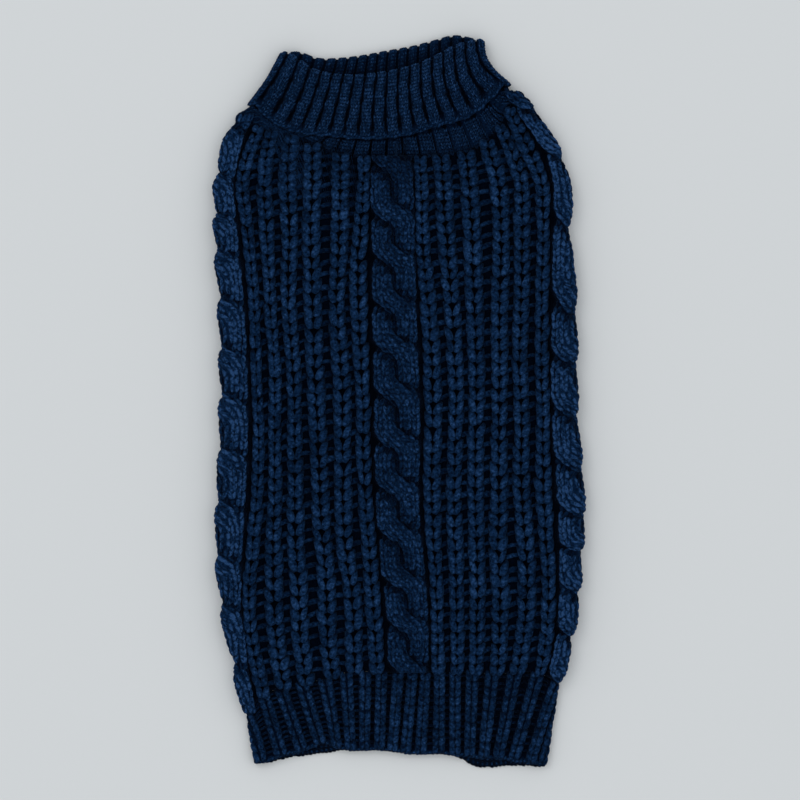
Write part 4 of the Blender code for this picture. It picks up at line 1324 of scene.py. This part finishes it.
# ---------------------------------------------------------------- hem band
# The ribbed band at the tail end, knitted on first: each of its eighteen ribs is one column of V
# stitches between deep grooves. It is flattened like the coat, so its under layer lies below it.
HEM_WALL = 0.0022
HEM_HALF = HEM_WALL + SEAM_GAP / 2
HEM_RIBS = 18
HEM_FOLD_TURN = 0.045
HEM_PITCH = 0.0044
HEM_FOLDS_TOP = (-0.0832, 0.0870)
HEM_FOLDS_EDGE = (-0.0802, 0.0803)
HEM_EDGE = (
    (-0.0810, -0.1985), (-0.0755, -0.1985), (-0.0655, -0.1950), (-0.0520, -0.1915),
    (-0.0405, -0.1878), (-0.0350, -0.1900), (-0.0095, -0.1915), (0.0065, -0.1935),
    (0.0230, -0.1935), (0.0415, -0.1955), (0.0590, -0.1970), (0.0800, -0.2000),
)
HEM_EDGE_UNDER = (
    (-0.0810, -0.1985), (-0.0755, -0.1985), (-0.0615, -0.1955), (-0.0385, -0.1925),
    (-0.0300, -0.1910), (-0.0095, -0.1915), (0.0065, -0.1935), (0.0230, -0.1935),
    (0.0330, -0.1955), (0.0405, -0.1995), (0.0640, -0.1998), (0.0800, -0.2005),
)
# Middles of the ribs on top and round its folds, at a fifth of the way down and near the edge
HEM_RIBS_HIGH = (
    -0.0825, -0.0728, -0.0628, -0.0514, -0.0398, -0.0288, -0.0189, -0.0101, -0.0013, 0.0064,
    0.0138, 0.0220, 0.0306, 0.0398, 0.0501, 0.0616, 0.0734, 0.0834, 0.0885,
)
HEM_RIBS_LOW = (
    -0.0772, -0.0662, -0.0552, -0.0448, -0.0354, -0.0272, -0.0192, -0.0109, -0.0035,
    0.0039, 0.0119, 0.0217, 0.0306, 0.0388, 0.0470, 0.0555, 0.0645, 0.0740, 0.0803,
)
HEM_TOP_RIBS = len(HEM_RIBS_HIGH)
HEM_V = (0.00160, 0.00105)  # half the width and half the height of its stitches' yarn
HEM_BAR_ROWS = 13
HEM_LIP_COLUMNS = 60


def hem_sides(down):
    """The band's left and right ends at a share of the way down, less the room for its folds."""
    left, right = (top + (edge - top) * down for top, edge in zip(HEM_FOLDS_TOP, HEM_FOLDS_EDGE))
    return left + HEM_HALF, right - HEM_HALF


def hem_form(g, s, rise=HEM_HALF):
    """The band's outside: s runs from 0 at its edge to 1 at the seam."""
    share, nx, nz = round_band(g, HEM_FOLD_TURN)
    left, right = hem_sides(1 - s)
    x = left + share * (right - left) + nx * rise
    below = (1 - nz) / 2
    seam_y = height_at(HEM_SEAM, x) - half_gap(HEM_SEAM, x)
    edge_y = (1 - below) * height_at(HEM_EDGE, x) + below * height_at(HEM_EDGE_UNDER, x)
    return np.stack([x, seam_y + (1 - s) * (edge_y - seam_y), HEM_HALF + nz * rise], axis=-1)


def hem_rib_share(index, s):
    """The place round the band of a rib's middle on top."""
    down = 1 - s
    high, low = (np.interp(index, np.arange(HEM_TOP_RIBS), row) for row in (HEM_RIBS_HIGH, HEM_RIBS_LOW))
    left, right = hem_sides(down)
    return (high + (low - high) * (down - 0.2) / 0.65 - left) / (right - left)


def hem_shell():
    g = around_steps(HEM_RIBS, HEM_FOLD_TURN, 12, 12)
    rings, shades = [], []
    for s in (1.0, 0.9, 0.8, 0.7, 0.6, 0.5, 0.4, 0.3, 0.2, 0.12, 0.06, 0.0):
        middles = hem_rib_share(np.arange(HEM_TOP_RIBS), s)
        across = np.where(g > 2 + HEM_FOLD_TURN, g - 2 - 2 * HEM_FOLD_TURN, g)
        top = np.interp(across, middles, np.arange(HEM_TOP_RIBS) + 0.5)
        under = rib_phase(g, HEM_RIBS, HEM_FOLD_TURN)
        phase = np.where(across < 1 + HEM_FOLD_TURN / 2, top - np.floor(top), under)
        relief = rib_relief(phase, 0.20, 0.42)
        grown = min(s / 0.10, 1.0)
        relief = 1 - grown + grown * relief
        ss = np.full_like(g, s)
        lift = relief * RIB_HEIGHT * 0.2 - (1 - relief) * RIB_SINK - 0.0003
        rings.append(hem_form(g, ss) + outward(hem_form, g, ss, step_s=0.005) * lift[:, None])
        # painted shade: near black in the grooves, dim on the ribs
        shades.append(0.02 + 0.16 * relief)
    # the inside, in flat painted shade
    for s in (0.015, 0.5, 1.0):
        rings.append(hem_form(g, np.full_like(g, s), rise=SEAM_GAP / 2))
        shades.append(0.05 + 0 * g)
    return band_mesh("hem_cloth", rings, shades)


hem_cloth = hem_shell()


def hem_yarn(name, under):
    """One column of plump V stitches on each rib, on top or below."""
    t = np.linspace(0, 1, 7)
    gathered = []
    for rib in range(HEM_RIBS if under else HEM_TOP_RIBS):
        ends = (hem_form(hem_rib_share(rib, s), np.array(s)) for s in (1.0, 0.0))
        count = int(round(np.linalg.norm(np.subtract(*ends)) / HEM_PITCH))
        starts = np.arange(count)[:, None] / count
        for hand in (-1, 1):
            s = starts + chance(0, 0.01, count) + STITCH_REACH / count * t
            s = np.clip(s, 0.02, 0.995 if under else 1.05)
            if under:
                middle, half = 1 + HEM_FOLD_TURN + (rib + 0.5) / HEM_RIBS, 0.30 / HEM_RIBS
            else:
                middle = hem_rib_share(rib, s)
                after = hem_rib_share(rib + 1 if rib < HEM_TOP_RIBS - 1 else rib - 1, s)
                before = hem_rib_share(rib - 1 if rib > 0 else rib + 1, s)
                half = 0.36 * (np.abs(after - middle) + np.abs(before - middle)) / 2
            g = middle + hand * half * (0.36 + 0.34 * t) + 0 * s
            normal = outward(hem_form, g, s, step_s=0.005)
            lift = 0.0004 * np.sin(np.pi * t) - 0.0005 * t**3 + chance(0, 0.0001, count)
            plump = swell(t, 0.13, 0.76, 0.55) * chance(1, 0.06, count)
            points = hem_form(g, s) + normal * lift[..., None]
            tone = varied(0.79, 0.15, count, 0.35, 1.2)
            gathered.append((points, normal, HEM_V[0] * plump, HEM_V[1] * plump, tone))
    return lay_yarn(name, gathered, sides=8, foot=0.32, tip=0.10, mottle=0.32)


def hem_bars(name):
    """Low purl bars that run across the grooves between the ribs."""
    t = np.linspace(0, 1, 4)
    rows = (np.arange(HEM_BAR_ROWS)[:, None] + 0.5) / HEM_BAR_ROWS
    gathered = []
    for rib in range(HEM_TOP_RIBS - 1):
        s = rows + chance(0, 0.008, HEM_BAR_ROWS) + 0.012 * np.sin(np.pi * t)
        first, second = hem_rib_share(rib, s), hem_rib_share(rib + 1, s)
        g = first + (second - first) * (0.24 + 0.52 * t)
        normal = outward(hem_form, g, s, step_s=0.005)
        # painted shade in the grooves, a little lighter in the six grooves at the left, with a chance
        # spread
        tone = random.uniform(0.05, 0.30, HEM_BAR_ROWS) + (0.22 if rib < 6 else 0.0)
        half_width, half_height = np.full(s.shape, 0.00075), np.full(s.shape, 0.00050)
        gathered.append((hem_form(g, s) - 0.0009 * normal, normal, half_width, half_height, tone))
    return lay_yarn(name, gathered, sides=5)


def hem_lip(name):
    """The inside of the under layer near its edge, where it shows past the top layer."""
    t = np.linspace(0, 1, 4)
    places = 1 + HEM_FOLD_TURN + (np.arange(HEM_LIP_COLUMNS) + 0.5) / HEM_LIP_COLUMNS
    g0, s0 = np.meshgrid(places, np.arange(5) * 0.055 + 0.01, indexing="ij")
    count = g0.size
    g = g0.reshape(-1, 1) + 0.0045 * (t - 0.5) + chance(0, 0.0008, count)
    points = hem_form(g, s0.reshape(-1, 1) + 0.050 * t, rise=0.0006)
    up = np.broadcast_to(-DOWNWARDS, points.shape)
    plump = swell(t, 0.08, 0.84, 0.55) * chance(1, 0.08, count)
    tone = varied(0.75, 0.15, count, 0.3, 1.1)
    return lay_yarn(name, [(points, up, 0.00095 * plump, 0.00070 * plump, tone)], sides=6)


hem_pieces = [
    hem_yarn("hem_stitches", under=False),
    hem_yarn("hem_under_stitches", under=True),
    hem_bars("hem_purl_bars"),
    hem_lip("hem_under_lip"),
    edge_chain(
        "hem_cast_off",
        lambda g, s: hem_form(g, s, rise=0.0014),
        HEM_FOLD_TURN,
        s=0.015,
        length=0.035,
        size=0.00105,
        lift=0.0,
        wave=lambda g: 0 * g,
    ),
]
dress([hem_cloth] + hem_pieces, rib_yarn)
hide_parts("hem_band")
